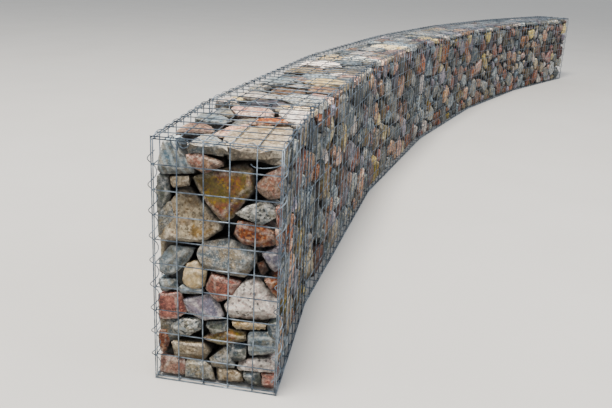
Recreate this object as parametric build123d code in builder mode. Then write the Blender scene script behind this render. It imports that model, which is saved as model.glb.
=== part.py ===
from build123d import *
from math import atan2, ceil, cos, hypot, pi, radians, sin, tan
import os

# A free-standing gabion wall: six welded wire baskets filled with stone, set end to end on a curve.
# Millimetres and degrees. +Z is up, the near end looks towards -Y, and the wall bends towards +X.

# Baskets
basket_width = 500
basket_height = 1000
first_bay_length = 800
bay_length = 2000
bay_count = 6

# Plan of the wall, as compass headings from +Y towards +X
near_end_heading = 0
first_bay_heading = -3
bay_turn = 6

# Welded mesh: cross wires outside, long wires inside, joined where they cross. Every second wire is
# drawn, and every fifth one where the stones hide the mesh
mesh_pitch = 100
wire = 5
drawn_every = 2
hidden_drawn_every = 5

# Spiral binders on the upright corners and the top edges of the two ends
spiral_radius = 18
spiral_wire = 4
spiral_runs = 6
seat_gap = 0.3

# Stone fill, eased at its edges so that the spirals can pass
fill_gap = 0.3
fill_corner = 34

sheet = 2 * wire
inside_face = sheet + fill_gap
# The middle of a spiral's run lies nearer the axis than the run's ends
run_angle = 2 * pi / spiral_runs
run_slack = cos(run_angle / 2)
# An end sheet's edge wire bears against the inside of the spiral, beside the front or back sheet
end_sheet_side = sheet / 2 + spiral_radius * run_slack - spiral_wire / 2 - seat_gap - wire
# Along a top edge the spiral lies close around the lid's edge wire and the end sheet's top wire
edge_reach = hypot(wire, 1.5 * wire)
edge_spiral_radius = (edge_reach + seat_gap + spiral_wire / 2) / run_slack

os.makedirs("parts", exist_ok=True)


def along(heading):
    """Direction of travel along the wall."""
    return Vector(sin(radians(heading)), cos(radians(heading)), 0)


def across(heading):
    """Direction from the front of the wall to its back."""
    return Vector(-cos(radians(heading)), sin(radians(heading)), 0)


def skew(station, bay):
    """How far the line across a station runs ahead of square, for each millimetre of width."""
    return tan(radians(station_headings[station] - bay_headings[bay]))


# Plan: each bay has a heading, and each station between two bays halves their turn
bay_lengths = [first_bay_length] + [bay_length] * (bay_count - 1)
bay_headings = [first_bay_heading + bay_turn * bay for bay in range(bay_count)]
station_headings = [near_end_heading]
for heading in bay_headings[:-1]:
    station_headings.append(heading + bay_turn / 2)
station_headings.append(bay_headings[-1])

front_corners = [Vector(0, 0, 0)]
for heading, length in zip(bay_headings, bay_lengths):
    front_corners.append(front_corners[-1] + along(heading) * length)
back_corners = []
for station, corner in enumerate(front_corners):
    beside = min(station, bay_count - 1)
    half_turn = radians(station_headings[station] - bay_headings[beside])
    back_corners.append(corner + across(station_headings[station]) * (basket_width / cos(half_turn)))

plan_corners = front_corners + back_corners
middle_x = (min(c.X for c in plan_corners) + max(c.X for c in plan_corners)) / 2
middle_y = (min(c.Y for c in plan_corners) + max(c.Y for c in plan_corners)) / 2
middle = Vector(middle_x, middle_y, 0)
front_corners = [corner - middle for corner in front_corners]
back_corners = [corner - middle for corner in back_corners]


def mesh_cells(length):
    """How many cells the mesh has over a length."""
    return max(1, round(length / mesh_pitch))


def wire_places(length, every=drawn_every):
    """Centres of the drawn wires between two edge wires, counted from each edge."""
    cells = mesh_cells(length)
    drawn = [k for k in range(1, cells) if min(k, cells - k) % every == 0]
    return [k * length / cells for k in drawn]


def welded_sheet(face, starts, ends, low, high, cross_wires, long_wires, outward=1):
    """A flat sheet behind the plane face, from its start line to its end line and from low to high."""

    def on_line(line, y):
        return line[0] + (line[1] - line[0]) * (y - low) / (high - low)

    with BuildPart() as welded:
        with BuildSketch(face.offset(-outward * wire)):
            for x in cross_wires:
                with Locations((x, (low + high) / 2)):
                    Rectangle(wire, high - low)
            for line, inward in ((starts, wire), (ends, -wire)):
                foot, head = line
                Polygon(
                    (foot, low), (foot + inward, low), (head + inward, high), (head, high), align=None
                )
        extrude(amount=outward * wire)
        with BuildSketch(face.offset(-outward * sheet)):
            for y in [low] + [centre - wire / 2 for centre in long_wires] + [high - wire]:
                top = y + wire
                Polygon(
                    (on_line(starts, y), y),
                    (on_line(ends, y), y),
                    (on_line(ends, top), top),
                    (on_line(starts, top), top),
                    align=None,
                )
        extrude(amount=outward * wire)
    return welded.part


def finish(part, name):
    """Labels a finished piece and writes it."""
    part.label = name
    export_step(part, f"parts/{name}.step")


# Heights of the drawn long wires on every upright sheet, and places of those on lids and bases
courses = wire_places(basket_height)
hidden_courses = wire_places(basket_height, hidden_drawn_every)
lid_wires = wire_places(basket_width)
upright_low = sheet
upright_high = basket_height - sheet

for bay, (heading, length) in enumerate(zip(bay_headings, bay_lengths)):
    number = bay + 1
    corner = front_corners[bay]
    start_skew = skew(bay, bay)
    end_skew = skew(bay + 1, bay)
    cross_wires = wire_places(length)
    hidden_wires = wire_places(length, hidden_drawn_every)

    # Front and back sheets
    front_face = Plane(corner, x_dir=along(heading), z_dir=-across(heading))
    front = welded_sheet(
        front_face, (0, 0), (length, length), upright_low, upright_high, cross_wires, courses
    )
    finish(front, f"front_sheet_{number}")

    back_face = front_face.offset(-basket_width)
    back_start = (basket_width - sheet) * start_skew
    back_end = length + (basket_width - sheet) * end_skew
    back = welded_sheet(
        back_face,
        (back_start, back_start),
        (back_end, back_end),
        upright_low,
        upright_high,
        cross_wires,
        courses,
        outward=-1,
    )
    finish(back, f"back_sheet_{number}")

    # Lid and base, cut to the lines across the two stations
    ground = Plane(corner, x_dir=along(heading), z_dir=(0, 0, 1))
    starts = (0, basket_width * start_skew)
    ends = (length, length + basket_width * end_skew)
    lid = welded_sheet(
        ground.offset(basket_height), starts, ends, 0, basket_width, cross_wires, lid_wires
    )
    finish(lid, f"lid_{number}")
    base = welded_sheet(
        ground, starts, ends, 0, basket_width, hidden_wires, lid_wires, outward=-1
    )
    finish(base, f"base_{number}")

    # Stone fill, with its corners eased where the baskets are laced
    start_inset = (sheet if bay == 0 else sheet / 2) + fill_gap
    end_inset = (sheet if bay == bay_count - 1 else sheet / 2) + fill_gap
    start_square = cos(radians(station_headings[bay] - heading))
    end_square = cos(radians(station_headings[bay + 1] - heading))
    near_side = inside_face
    far_side = basket_width - inside_face
    with BuildPart() as fill:
        with BuildSketch(ground.offset(inside_face)):
            Polygon(
                (near_side * start_skew + start_inset / start_square, near_side),
                (length + near_side * end_skew - end_inset / end_square, near_side),
                (length + far_side * end_skew - end_inset / end_square, far_side),
                (far_side * start_skew + start_inset / start_square, far_side),
                align=None,
            )
        extrude(amount=basket_height - 2 * inside_face)
        chamfer(fill.edges(), fill_corner)
    finish(fill.part, f"stone_fill_{number}")

# End sheets and dividers, each standing on the line across its station between front and back sheets
for station, heading in enumerate(station_headings):
    reach = (back_corners[station] - front_corners[station]).length
    half_turn = radians(heading - bay_headings[min(station, bay_count - 1)])
    side = end_sheet_side / cos(half_turn)
    every, rows = drawn_every, courses
    if station == 0:
        name, ahead = "near_end_sheet", 0
    elif station == bay_count:
        name, ahead = "far_end_sheet", 0
    else:
        name, ahead = f"divider_{station}", sheet / 2
        every, rows = hidden_drawn_every, hidden_courses
    outward = 1 if station == bay_count else -1
    face_point = front_corners[station] - along(heading) * ahead
    face = Plane(face_point, x_dir=across(heading), z_dir=along(heading))
    cross_wires = wire_places(reach, every)
    cross = welded_sheet(
        face,
        (side, side),
        (reach - side, reach - side),
        upright_low,
        upright_high,
        cross_wires,
        rows,
        outward,
    )
    finish(cross, name)


def spiral_binder(edge, pitch, turns, radius, first_angle):
    """A coil of wire wound around an edge once in each mesh cell, in straight runs along its z."""
    points = []
    for run in range(turns * spiral_runs + 1):
        angle = first_angle + run * run_angle
        around = Vector(radius * cos(angle), radius * sin(angle), run * pitch / spiral_runs)
        points.append(edge.from_local_coords(around))
    with BuildPart() as spiral:
        with BuildLine() as path:
            Polyline(*points)
        with BuildSketch(Plane(points[0], z_dir=path.line % 0)):
            RegularPolygon(spiral_wire / 2, 4)
        sweep(transition=Transition.RIGHT)
    return spiral.part


# Spirals on the four upright corners, each passing through the sheets halfway between long wires
upright_turns = ceil(basket_height / mesh_pitch) - 1
upright_foot = (basket_height - upright_turns * mesh_pitch) / 2
corners = [(0, False), (0, True), (bay_count, False), (bay_count, True)]
for number, (station, at_back) in enumerate(corners, 1):
    corner = back_corners[station] if at_back else front_corners[station]
    heading = station_headings[station]
    inward = along(heading) * (1 if station == 0 else -1)
    sideways = across(heading) * (-1 if at_back else 1)
    foot = corner + (inward + sideways) * (sheet / 2) + Vector(0, 0, upright_foot)
    facing_end_sheet = radians((0 if at_back else 180) - heading)
    coil = spiral_binder(
        Plane(foot), mesh_pitch, upright_turns, spiral_radius, facing_end_sheet - run_angle / 2
    )
    finish(coil, f"corner_spiral_{number}")

# Spirals along the top edge of each end. They pass through lid and end sheet between two wires of the
# mesh, and the middle of one run bears on each of the two wires that they hold
top_edges = [("near_end_top_spiral", 0, back_corners[0], -1)]
top_edges.append(("far_end_top_spiral", bay_count, front_corners[-1], 1))
bearing_angle = atan2(1.5 * wire, -wire)
for name, station, corner, direction in top_edges:
    heading = station_headings[station]
    inward = along(heading) * -direction
    edge_length = (back_corners[station] - front_corners[station]).length
    cells = mesh_cells(edge_length)
    start = corner + across(heading) * (direction * edge_length / cells / 2) + inward * wire
    start += Vector(0, 0, basket_height - 1.5 * wire)
    edge = Plane(start, x_dir=inward, z_dir=across(heading) * direction)
    coil = spiral_binder(
        edge, edge_length / cells, cells - 1, edge_spiral_radius, bearing_angle - 2.5 * run_angle
    )
    finish(coil, name)
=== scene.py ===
"""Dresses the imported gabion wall: its welded mesh, its lacing and every stone that shows, in metres."""

import logging
import math
from dataclasses import dataclass, field
from enum import Enum
from functools import lru_cache
from typing import Any, Sequence

import bpy
import numpy as np
from mathutils import Matrix, Vector, noise

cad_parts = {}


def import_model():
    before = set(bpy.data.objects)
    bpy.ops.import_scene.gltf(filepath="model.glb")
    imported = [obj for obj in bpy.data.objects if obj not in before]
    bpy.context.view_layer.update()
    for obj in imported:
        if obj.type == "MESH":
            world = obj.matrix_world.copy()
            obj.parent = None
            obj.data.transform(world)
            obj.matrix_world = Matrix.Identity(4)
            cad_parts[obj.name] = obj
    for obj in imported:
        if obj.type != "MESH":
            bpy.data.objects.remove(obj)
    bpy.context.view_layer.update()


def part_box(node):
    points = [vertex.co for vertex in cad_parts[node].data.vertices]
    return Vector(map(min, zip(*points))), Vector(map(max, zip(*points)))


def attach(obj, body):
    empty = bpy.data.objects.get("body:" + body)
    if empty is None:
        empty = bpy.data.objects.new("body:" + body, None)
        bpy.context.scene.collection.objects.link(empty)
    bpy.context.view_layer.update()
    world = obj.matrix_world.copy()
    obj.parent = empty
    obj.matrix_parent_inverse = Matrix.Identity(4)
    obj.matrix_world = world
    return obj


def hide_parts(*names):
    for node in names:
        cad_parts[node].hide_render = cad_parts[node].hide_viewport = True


MM = 0.001
log = logging.getLogger("gabion_wall")

Array = np.ndarray
Polyline = Array
# An outward normal, and how far off the flat face lies along it
Facet = tuple[Array, float]
Pairs = tuple[tuple[float, float], ...]
Triples = tuple[tuple[float, float, float], ...]
# Two values of a pattern and what they turn into, which is 0 and 1 where it isn't given
Levels = tuple[float, ...]

UP = Vector((0, 0, 1))
# The inputs of a range, in the order of Levels
RANGE = ("From Min", "From Max", "To Min", "To Max")
SMOOTH = {"interpolation_type": "SMOOTHSTEP"}
# A mix node has inputs of the same names for each kind of data: these are the ones for colours
MIX_FACTOR, MIX_A, MIX_B = 0, 6, 7
# What each vertex of a stone tells its material, apart from its place
VERTEX_VALUES = ("tone", "warmth", "edge", "recess")


class Side(Enum):
    """The two long sides of the wall, named as its CAD pieces are."""

    FRONT = "front"
    BACK = "back"


class Face(Enum):
    """The faces of a basket that stones show through, with the way each looks in the basket's frame."""

    FRONT = (0.0, -1.0, 0.0)
    BACK = (0.0, 1.0, 0.0)
    LID = (0.0, 0.0, 1.0)
    NEAR_END = (-1.0, 0.0, 0.0)
    FAR_END = (1.0, 0.0, 0.0)

    @property
    def outward(self) -> Array:
        """The direction that it looks in."""
        return np.array(self.value)


class Rock(Enum):
    """The kinds of stone in the fill."""

    GREY = "grey_granite"
    SPECKLED = "speckled_granite"
    WHITE = "white_granite"
    PINK = "pink_granite"
    RED = "red_granite"
    RUST = "rust_stained_granite"
    BUFF = "buff_granite"
    OLIVE = "mossy_iron_stone"
    CREAM = "cream_quartzite"
    BANDED = "banded_gneiss"
    PURPLE = "purple_porphyry"
    DARK = "dark_amphibolite"


def linear(colour: str) -> tuple[float, float, float, float]:
    """Turns an sRGB hex colour into linear values.

    Args:
        colour: Six hex digits after a number sign.

    Returns:
        Red, green, blue and an alpha of one.
    """
    parts = [int(colour[start : start + 2], 16) / 255 for start in (1, 3, 5)]
    values = [c / 12.92 if c <= 0.04045 else ((c + 0.055) / 1.055) ** 2.4 for c in parts]
    return (*values, 1.0)


def add(
    tree: bpy.types.NodeTree, kind: str, inputs: dict[str | int, Any] | None = None, **settings: str
) -> bpy.types.Node:
    """Adds a node with its settings and links.

    Args:
        tree: The material's node tree.
        kind: Blender's name for the node, after the word ShaderNode.
        inputs: For each input, by name or number, a value, a socket, or a node whose main output feeds it.
        settings: Properties to set on the node.

    Returns:
        The new node.
    """
    node = tree.nodes.new("ShaderNode" + kind)
    for name, value in settings.items():
        setattr(node, name, value)
    for name, value in (inputs or {}).items():
        if isinstance(value, bpy.types.Node):
            value = next(socket for socket in value.outputs if socket.enabled)
        if isinstance(value, bpy.types.NodeSocket):
            tree.links.new(value, node.inputs[name])
        else:
            node.inputs[name].default_value = value
    return node


def laid_over(
    tree: bpy.types.NodeTree, under: Any, over: str, pattern: Any, levels: Levels, **settings: str
) -> bpy.types.Node:
    """Lays one colour over another where a pattern is strong.

    Args:
        tree: The material's node tree.
        under: The colour below, as a value or as the node that makes it.
        over: The colour on top, as sRGB hex.
        pattern: The socket or node whose value decides.
        levels: Two values of the pattern, and how much of the upper colour shows there.
        settings: How the share runs between the two.

    Returns:
        The node that makes the mixed colour.
    """
    share = add(tree, "MapRange", dict(zip(RANGE, levels), Value=pattern), **settings)
    return add(tree, "Mix", {MIX_FACTOR: share, MIX_A: under, MIX_B: linear(over)}, data_type="RGBA")


def empty_material(name: str) -> bpy.types.Material:
    """Makes a material whose node tree is empty.

    Args:
        name: The material's name.

    Returns:
        The material.
    """
    material = bpy.data.materials.new(name)
    material.use_nodes = True
    material.node_tree.nodes.clear()
    return material


@dataclass(frozen=True)
class RockFinish:
    """One kind of broken stone. Colours are sRGB hex, sizes are in millimetres and depths in metres."""

    rock: Rock
    base: str
    patch: str
    dark_grain: str
    light_grain: str
    grain: float = 7.0
    dark_share: float = 0.22
    light_share: float = 0.2
    grain_strength: float = 0.7
    patch_size: float = 55.0
    stain: str = "#6b6250"
    stain_share: float = 0.35
    band: float = 0.0
    band_colour: str = "#98a2a7"
    roughness: float = 0.82
    relief: float = 3.0
    # What follows is alike on all rocks
    ior: float = 1.54
    patch_levels: Levels = (0.42, 0.6)
    band_levels: Levels = (0.35, 0.85, 0.0, 0.75)
    grain_blur: float = 0.04
    stain_size: float = 90.0
    least_stain: tuple[float, float] = (0.62, 0.74)
    stain_reach: tuple[float, float] = (0.3, 0.2)
    most_stain: float = 0.75
    bruise: str = "#c3bfb6"
    bruise_size: float = 12.0
    bruise_levels: Levels = (0.2, 0.65, 0.0, 0.55)
    mottle_size: float = 24.0
    mottle_levels: Levels = (0.35, 0.65, 0.5, 1.74)
    tone_levels: Levels = (0.0, 1.0, 0.3, 1.42)
    hue_levels: Levels = (0.0, 1.0, 0.488, 0.512)
    saturation_levels: Levels = (0.0, 1.0, 1.2, 1.75)
    # Painted light on faces that look up and painted shade on faces that look down, by how far the normal
    # points up
    painted_top_light_levels: Levels = (0.55, 0.9, 1.0, 2.7)
    painted_under_shade_levels: Levels = (-0.55, 0.3, 0.5, 1.15)
    # Painted shade between the stones, and the depths in metres where it starts and where it is full
    shade: str = "#191817"
    shade_levels: Levels = (0.014, 0.05, 0.0, 0.95)
    chip_levels: tuple[float, float] = (0.3, 0.7)
    polish: float = 0.14
    dustiness: float = 0.1
    scar_size: float = 42.0
    hackle_size: float = 16.0
    scar_height: float = 3.6
    grain_height: float = 0.1

    def material(self) -> bpy.types.Material:
        """Builds the node material.

        Returns:
            The material, which reads the attributes that StoneHeap writes.
        """
        material = empty_material(f"{self.rock.value}_broken")
        tree = material.node_tree
        place = add(tree, "Attribute", attribute_name="stone_space").outputs["Vector"]
        tone, warmth, edge, recess = (
            add(tree, "Attribute", attribute_name=name).outputs["Fac"] for name in VERTEX_VALUES
        )

        clouds = {"Vector": place, "Scale": 1 / (self.patch_size * MM), "Detail": 5.0, "Roughness": 0.62}
        patches = add(tree, "TexNoise", clouds)
        colour = laid_over(tree, linear(self.base), self.patch, patches, self.patch_levels, **SMOOTH)
        if self.band:
            # A wave texture's period is 0.314 over its scale
            wavy = {"Distortion": 5.0, "Detail": 3.0, "Detail Scale": 0.35, "Detail Roughness": 0.6}
            wavy |= {"Vector": place, "Scale": 0.314 / (self.band * MM)}
            bands = add(tree, "TexWave", wavy, wave_type="BANDS", bands_direction="Z").outputs["Fac"]
            colour = laid_over(tree, colour, self.band_colour, bands, self.band_levels)

        # Mineral grains: each cell of the pattern draws one lot, and the lots decide which grain it is
        grains = add(tree, "TexVoronoi", {"Vector": place, "Scale": 1 / (self.grain * MM)})
        lots = add(tree, "SeparateColor", {"Color": grains.outputs["Color"]}).outputs
        kinds = ((self.dark_share, self.dark_grain), (self.light_share, self.light_grain))
        for lot, (share, grain_colour) in zip(lots, kinds):
            drawn = (share - self.grain_blur, share + self.grain_blur, self.grain_strength, 0.0)
            colour = laid_over(tree, colour, grain_colour, lot, drawn)

        # Stains, moss and iron from years of rain, in broken patches
        blots = {"Vector": place, "Scale": 1 / (self.stain_size * MM), "Detail": 7.0, "Roughness": 0.7}
        weather = add(tree, "TexNoise", blots)
        starts = (np.array(self.least_stain) - self.stain_share * np.array(self.stain_reach)).tolist()
        stained = (*starts, 0.0, self.most_stain)
        colour = laid_over(tree, colour, self.stain, weather, stained, **SMOOTH)

        # Bruised edges are paler, where the stones were knocked together
        knocks = {"Vector": place, "Scale": 1 / (self.bruise_size * MM), "Detail": 3.0, "Roughness": 0.6}
        chips = add(tree, "TexNoise", knocks)
        bruised = add(tree, "Math", {0: edge, 1: chips}, operation="MULTIPLY")
        colour = laid_over(tree, colour, self.bruise, bruised, self.bruise_levels)

        # Each stone is a little lighter, darker, warmer or cooler than the next, and mottled
        blotches = {"Vector": place, "Scale": 1 / (self.mottle_size * MM), "Detail": 6.0, "Roughness": 0.78}
        mottle = add(tree, "TexNoise", blotches)
        mottled = add(tree, "MapRange", dict(zip(RANGE, self.mottle_levels), Value=mottle))
        level = add(tree, "MapRange", dict(zip(RANGE, self.tone_levels), Value=tone))
        value = add(tree, "Math", {0: level, 1: mottled}, operation="MULTIPLY")
        hue = add(tree, "MapRange", dict(zip(RANGE, self.hue_levels), Value=warmth))
        saturation = add(tree, "MapRange", dict(zip(RANGE, self.saturation_levels), Value=warmth))
        shift = {"Hue": hue, "Saturation": saturation, "Value": value, "Color": colour}
        colour = add(tree, "HueSaturation", shift)

        # Painted light and shade: what faces the sky is painted lighter and what faces the ground darker,
        # as light from above falls on them
        facing = add(tree, "NewGeometry").outputs["Normal"]
        upright = add(tree, "SeparateXYZ", {"Vector": facing}).outputs["Z"]
        painted_top_light, painted_under_shade = (
            add(tree, "MapRange", dict(zip(RANGE, levels), Value=upright), **SMOOTH)
            for levels in (self.painted_top_light_levels, self.painted_under_shade_levels)
        )
        painted_facing_light = add(tree, "Math", {0: painted_top_light, 1: painted_under_shade}, operation="MULTIPLY")
        colour = add(tree, "HueSaturation", {"Value": painted_facing_light, "Color": colour})

        # Painted shade: what lies deep between the stones is darkened towards near black, as shade falls
        # there
        colour = laid_over(tree, colour, self.shade, recess, self.shade_levels, **SMOOTH)

        rough = (*self.chip_levels, self.roughness - self.polish, self.roughness + self.dustiness)
        roughness = add(tree, "MapRange", dict(zip(RANGE, rough), Value=chips))
        # Broken faces: hollow scars, a finer hackle, then the grains that stand proud
        scars = add(tree, "TexVoronoi", {"Vector": place, "Scale": 1 / (self.scar_size * MM)})
        rise = self.scar_height * self.relief * MM
        scarred = add(tree, "Bump", {"Strength": 0.85, "Distance": rise, "Height": scars})
        ridges = {"Vector": place, "Scale": 1 / (self.hackle_size * MM), "Detail": 6.0, "Roughness": 0.68}
        hackle = add(tree, "TexNoise", ridges)
        broken = add(tree, "Bump", {"Strength": 1.0, "Distance": rise, "Height": hackle, "Normal": scarred})
        proud = self.grain_height * self.grain * MM
        uneven = {"Strength": 0.6, "Distance": proud, "Height": grains, "Normal": broken}
        grained = add(tree, "Bump", uneven)
        stone = {"Base Color": colour, "Roughness": roughness, "IOR": self.ior, "Normal": grained}
        add(tree, "OutputMaterial", {"Surface": add(tree, "BsdfPrincipled", stone)})
        return material


# Granites show quartz, feldspar and mica as grains of 4 to 9 mm, so the eye sees speckle
# close to and one mixed colour further off. Gneiss is banded, amphibolite nearly black.
# After each rock: its base, its patches, its dark grains, its light ones and how wide the grains are
FINISHES: tuple[RockFinish, ...] = (
    RockFinish(Rock.GREY, "#697278", "#8c8371", "#454a4c", "#a9a7a0", 5.0, stain="#6a5f4c", relief=2.4),
    RockFinish(
        Rock.SPECKLED, "#848c90", "#7d796b", "#2f3234", "#c9c8c2", 8.0,
        dark_share=0.28, light_share=0.3, grain_strength=0.85, stain="#6d6a5e", stain_share=0.15,
    ),
    RockFinish(
        Rock.WHITE, "#c5bdb6", "#b7a8a2", "#4e4a4a", "#e2ddd6", 8.5,
        dark_share=0.14, light_share=0.35, grain_strength=0.8, stain="#8b8174", stain_share=0.2,
    ),
    RockFinish(
        Rock.PINK, "#9f7d72", "#a9917f", "#5e504c", "#cdb9ac", 6.5, stain="#7a6554", stain_share=0.3
    ),
    RockFinish(Rock.RED, "#7f5a53", "#8c695f", "#4a3935", "#bd8f7f", 5.5, stain="#5f4a41"),
    RockFinish(
        Rock.RUST, "#835640", "#764f43", "#38292a", "#ab8a70", 8.0,
        dark_share=0.3, grain_strength=0.75, stain="#5d3b2b",
    ),
    RockFinish(
        Rock.BUFF, "#938674", "#a39a86", "#5f5546", "#c8bda6", 7.5,
        dark_share=0.25, light_share=0.3, stain="#7a633c", stain_share=0.45,
    ),
    RockFinish(
        Rock.OLIVE, "#6d5a48", "#7c594c", "#4a3727", "#a48a5b", 9.0,
        patch_size=80.0, stain="#66613a", stain_share=0.75, relief=4.0,
    ),
    RockFinish(
        Rock.CREAM, "#d6c096", "#ddcfab", "#988462", "#dbd1b8", 14.0,
        grain_strength=0.35, stain="#9c7f4a", stain_share=0.3, roughness=0.7, relief=2.0,
    ),
    RockFinish(
        Rock.BANDED, "#54636e", "#74736b", "#3d4347", "#9aa0a2", 5.0,
        grain_strength=0.35, stain="#64604f", stain_share=0.2, band=26.0,
    ),
    RockFinish(
        Rock.PURPLE, "#6b6a76", "#82797e", "#4f474c", "#a0959a", 6.0,
        grain_strength=0.4, stain="#5d5650", stain_share=0.2, relief=2.4,
    ),
    RockFinish(
        Rock.DARK, "#37424b", "#52554d", "#2a2d2f", "#73797b", 5.0,
        grain_strength=0.35, stain="#4b4a3d", stain_share=0.25, roughness=0.76,
    ),
)


@dataclass(frozen=True)
class ZincFinish:
    """Hot-dip galvanised steel wire that has weathered: dull blue-grey zinc, with paler bloom along it."""

    name: str = "galvanised_wire_weathered"
    zinc: str = "#56616e"
    bloom: str = "#95a2ae"
    # Real spangle is about 3 mm: it is drawn three times as coarse, so that it shows on a thin wire
    spangle: float = 9.0
    streak: float = 70.0
    pit: float = 0.3
    metallic: float = 0.8
    bloom_levels: Levels = (0.4, 0.66)
    # How much lighter or darker each spangle crystal is painted, a painted glint
    glint_levels: Levels = (0.0, 1.0, 0.85, 1.12)
    roughness_levels: Levels = (0.0, 1.0, 0.42, 0.62)

    def material(self) -> bpy.types.Material:
        """Builds the node material.

        Returns:
            The material, patterned by the piece's own place in metres.
        """
        material = empty_material(self.name)
        tree = material.node_tree
        place = add(tree, "TexCoord").outputs["Object"]
        spangle = add(tree, "TexVoronoi", {"Vector": place, "Scale": 1 / (self.spangle * MM)})
        runs = {"Vector": place, "Scale": 1 / (self.streak * MM), "Detail": 4.0, "Roughness": 0.65}
        streaks = add(tree, "TexNoise", runs)
        colour = laid_over(tree, linear(self.zinc), self.bloom, streaks, self.bloom_levels, **SMOOTH)
        lots = add(tree, "SeparateColor", {"Color": spangle.outputs["Color"]}).outputs
        # Painted glint: each spangle crystal is painted a little lighter or darker, over the spangle
        # pattern
        glint = add(tree, "MapRange", dict(zip(RANGE, self.glint_levels), Value=lots[0]))
        toned = add(tree, "HueSaturation", {"Value": glint, "Color": colour})
        roughness = add(tree, "MapRange", dict(zip(RANGE, self.roughness_levels), Value=lots[1]))
        pitted = add(tree, "Bump", {"Strength": 0.4, "Distance": self.pit * MM, "Height": spangle})
        wire = {"Base Color": toned, "Metallic": self.metallic, "Roughness": roughness, "Normal": pitted}
        add(tree, "OutputMaterial", {"Surface": add(tree, "BsdfPrincipled", wire)})
        return material


@dataclass(frozen=True)
class RubbleFinish:
    """Stone deep in the fill, which gets little light: painted nearly black as painted shade."""

    name: str = "rubble_in_shade"
    # Both colours are near black: painted shade
    dark: str = "#161514"
    light: str = "#34322f"
    stone: float = 60.0
    relief: float = 20.0
    roughness: float = 0.95
    ior: float = 1.54

    def material(self) -> bpy.types.Material:
        """Builds the node material.

        Returns:
            The material, patterned by the piece's own place in metres.
        """
        material = empty_material(self.name)
        tree = material.node_tree
        place = add(tree, "TexCoord").outputs["Object"]
        # Each stone is one cell, with a lot that decides how dark it is
        stones = add(tree, "TexVoronoi", {"Vector": place, "Scale": 1 / (self.stone * MM)})
        lots = add(tree, "SeparateColor", {"Color": stones.outputs["Color"]})
        shades = {MIX_FACTOR: lots, MIX_A: linear(self.dark), MIX_B: linear(self.light)}
        colour = add(tree, "Mix", shades, data_type="RGBA")
        bump = add(tree, "Bump", {"Strength": 1.0, "Distance": self.relief * MM, "Height": stones})
        stone = {"Base Color": colour, "Roughness": self.roughness, "IOR": self.ior, "Normal": bump}
        add(tree, "OutputMaterial", {"Surface": add(tree, "BsdfPrincipled", stone)})
        return material


@dataclass(frozen=True)
class FloorFinish:
    """A painted studio floor: pale, matt and nearly even."""

    name: str = "studio_floor_matt_paint"
    pale: str = "#dcdad6"
    shade: str = "#d2d0cb"
    cloud: float = 1.2
    roughness: float = 0.85

    def material(self) -> bpy.types.Material:
        """Builds the node material.

        Returns:
            The material.
        """
        material = empty_material(self.name)
        tree = material.node_tree
        place = add(tree, "TexCoord").outputs["Object"]
        clouds = add(tree, "TexNoise", {"Vector": place, "Scale": self.cloud, "Detail": 3.0})
        shades = {MIX_FACTOR: clouds, MIX_A: linear(self.pale), MIX_B: linear(self.shade)}
        paint = {"Base Color": add(tree, "Mix", shades, data_type="RGBA"), "Roughness": self.roughness}
        add(tree, "OutputMaterial", {"Surface": add(tree, "BsdfPrincipled", paint)})
        return material


def unit(vectors: Array) -> Array:
    """The same direction with a length of one, for a vector or for each row of many."""
    many = vectors.ndim > 1
    return vectors / (np.linalg.norm(vectors, axis=1)[:, None] if many else np.linalg.norm(vectors))


def turned(axis: Array, degrees: float) -> Array:
    """A rotation about an axis, as a three by three array."""
    return np.array(Matrix.Rotation(math.radians(degrees), 3, Vector(axis)))


def ahead(heading: float) -> Vector:
    """Direction of travel along the wall, at a heading in radians from +Y towards +X."""
    return Vector((math.sin(heading), math.cos(heading), 0))


def athwart(heading: float) -> Vector:
    """Direction from the front of the wall to its back, at a heading in radians."""
    return Vector((-math.cos(heading), math.sin(heading), 0))


@dataclass(frozen=True)
class Bay:
    """One basket: a local frame of s along its front, t from front to back, and height."""

    number: int
    corner: Vector
    heading: float
    length: float
    width: float
    height: float
    start_skew: float
    end_skew: float

    @property
    def along(self) -> Vector:
        """Direction of travel along the wall."""
        return ahead(self.heading)

    @property
    def across(self) -> Vector:
        """Direction from the front of the wall to its back."""
        return athwart(self.heading)

    def to_frame(self, points: Array) -> Array:
        """Turns local points (s, t, z) into the frame."""
        axes = np.array([self.along, self.across, (0, 0, 1)])
        return np.asarray(points) @ axes + np.array(self.corner)

    def ends_at(self, t: float) -> tuple[float, float]:
        """Where the bay starts and ends along s, at a distance t from its front."""
        return t * self.start_skew, self.length + t * self.end_skew


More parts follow.
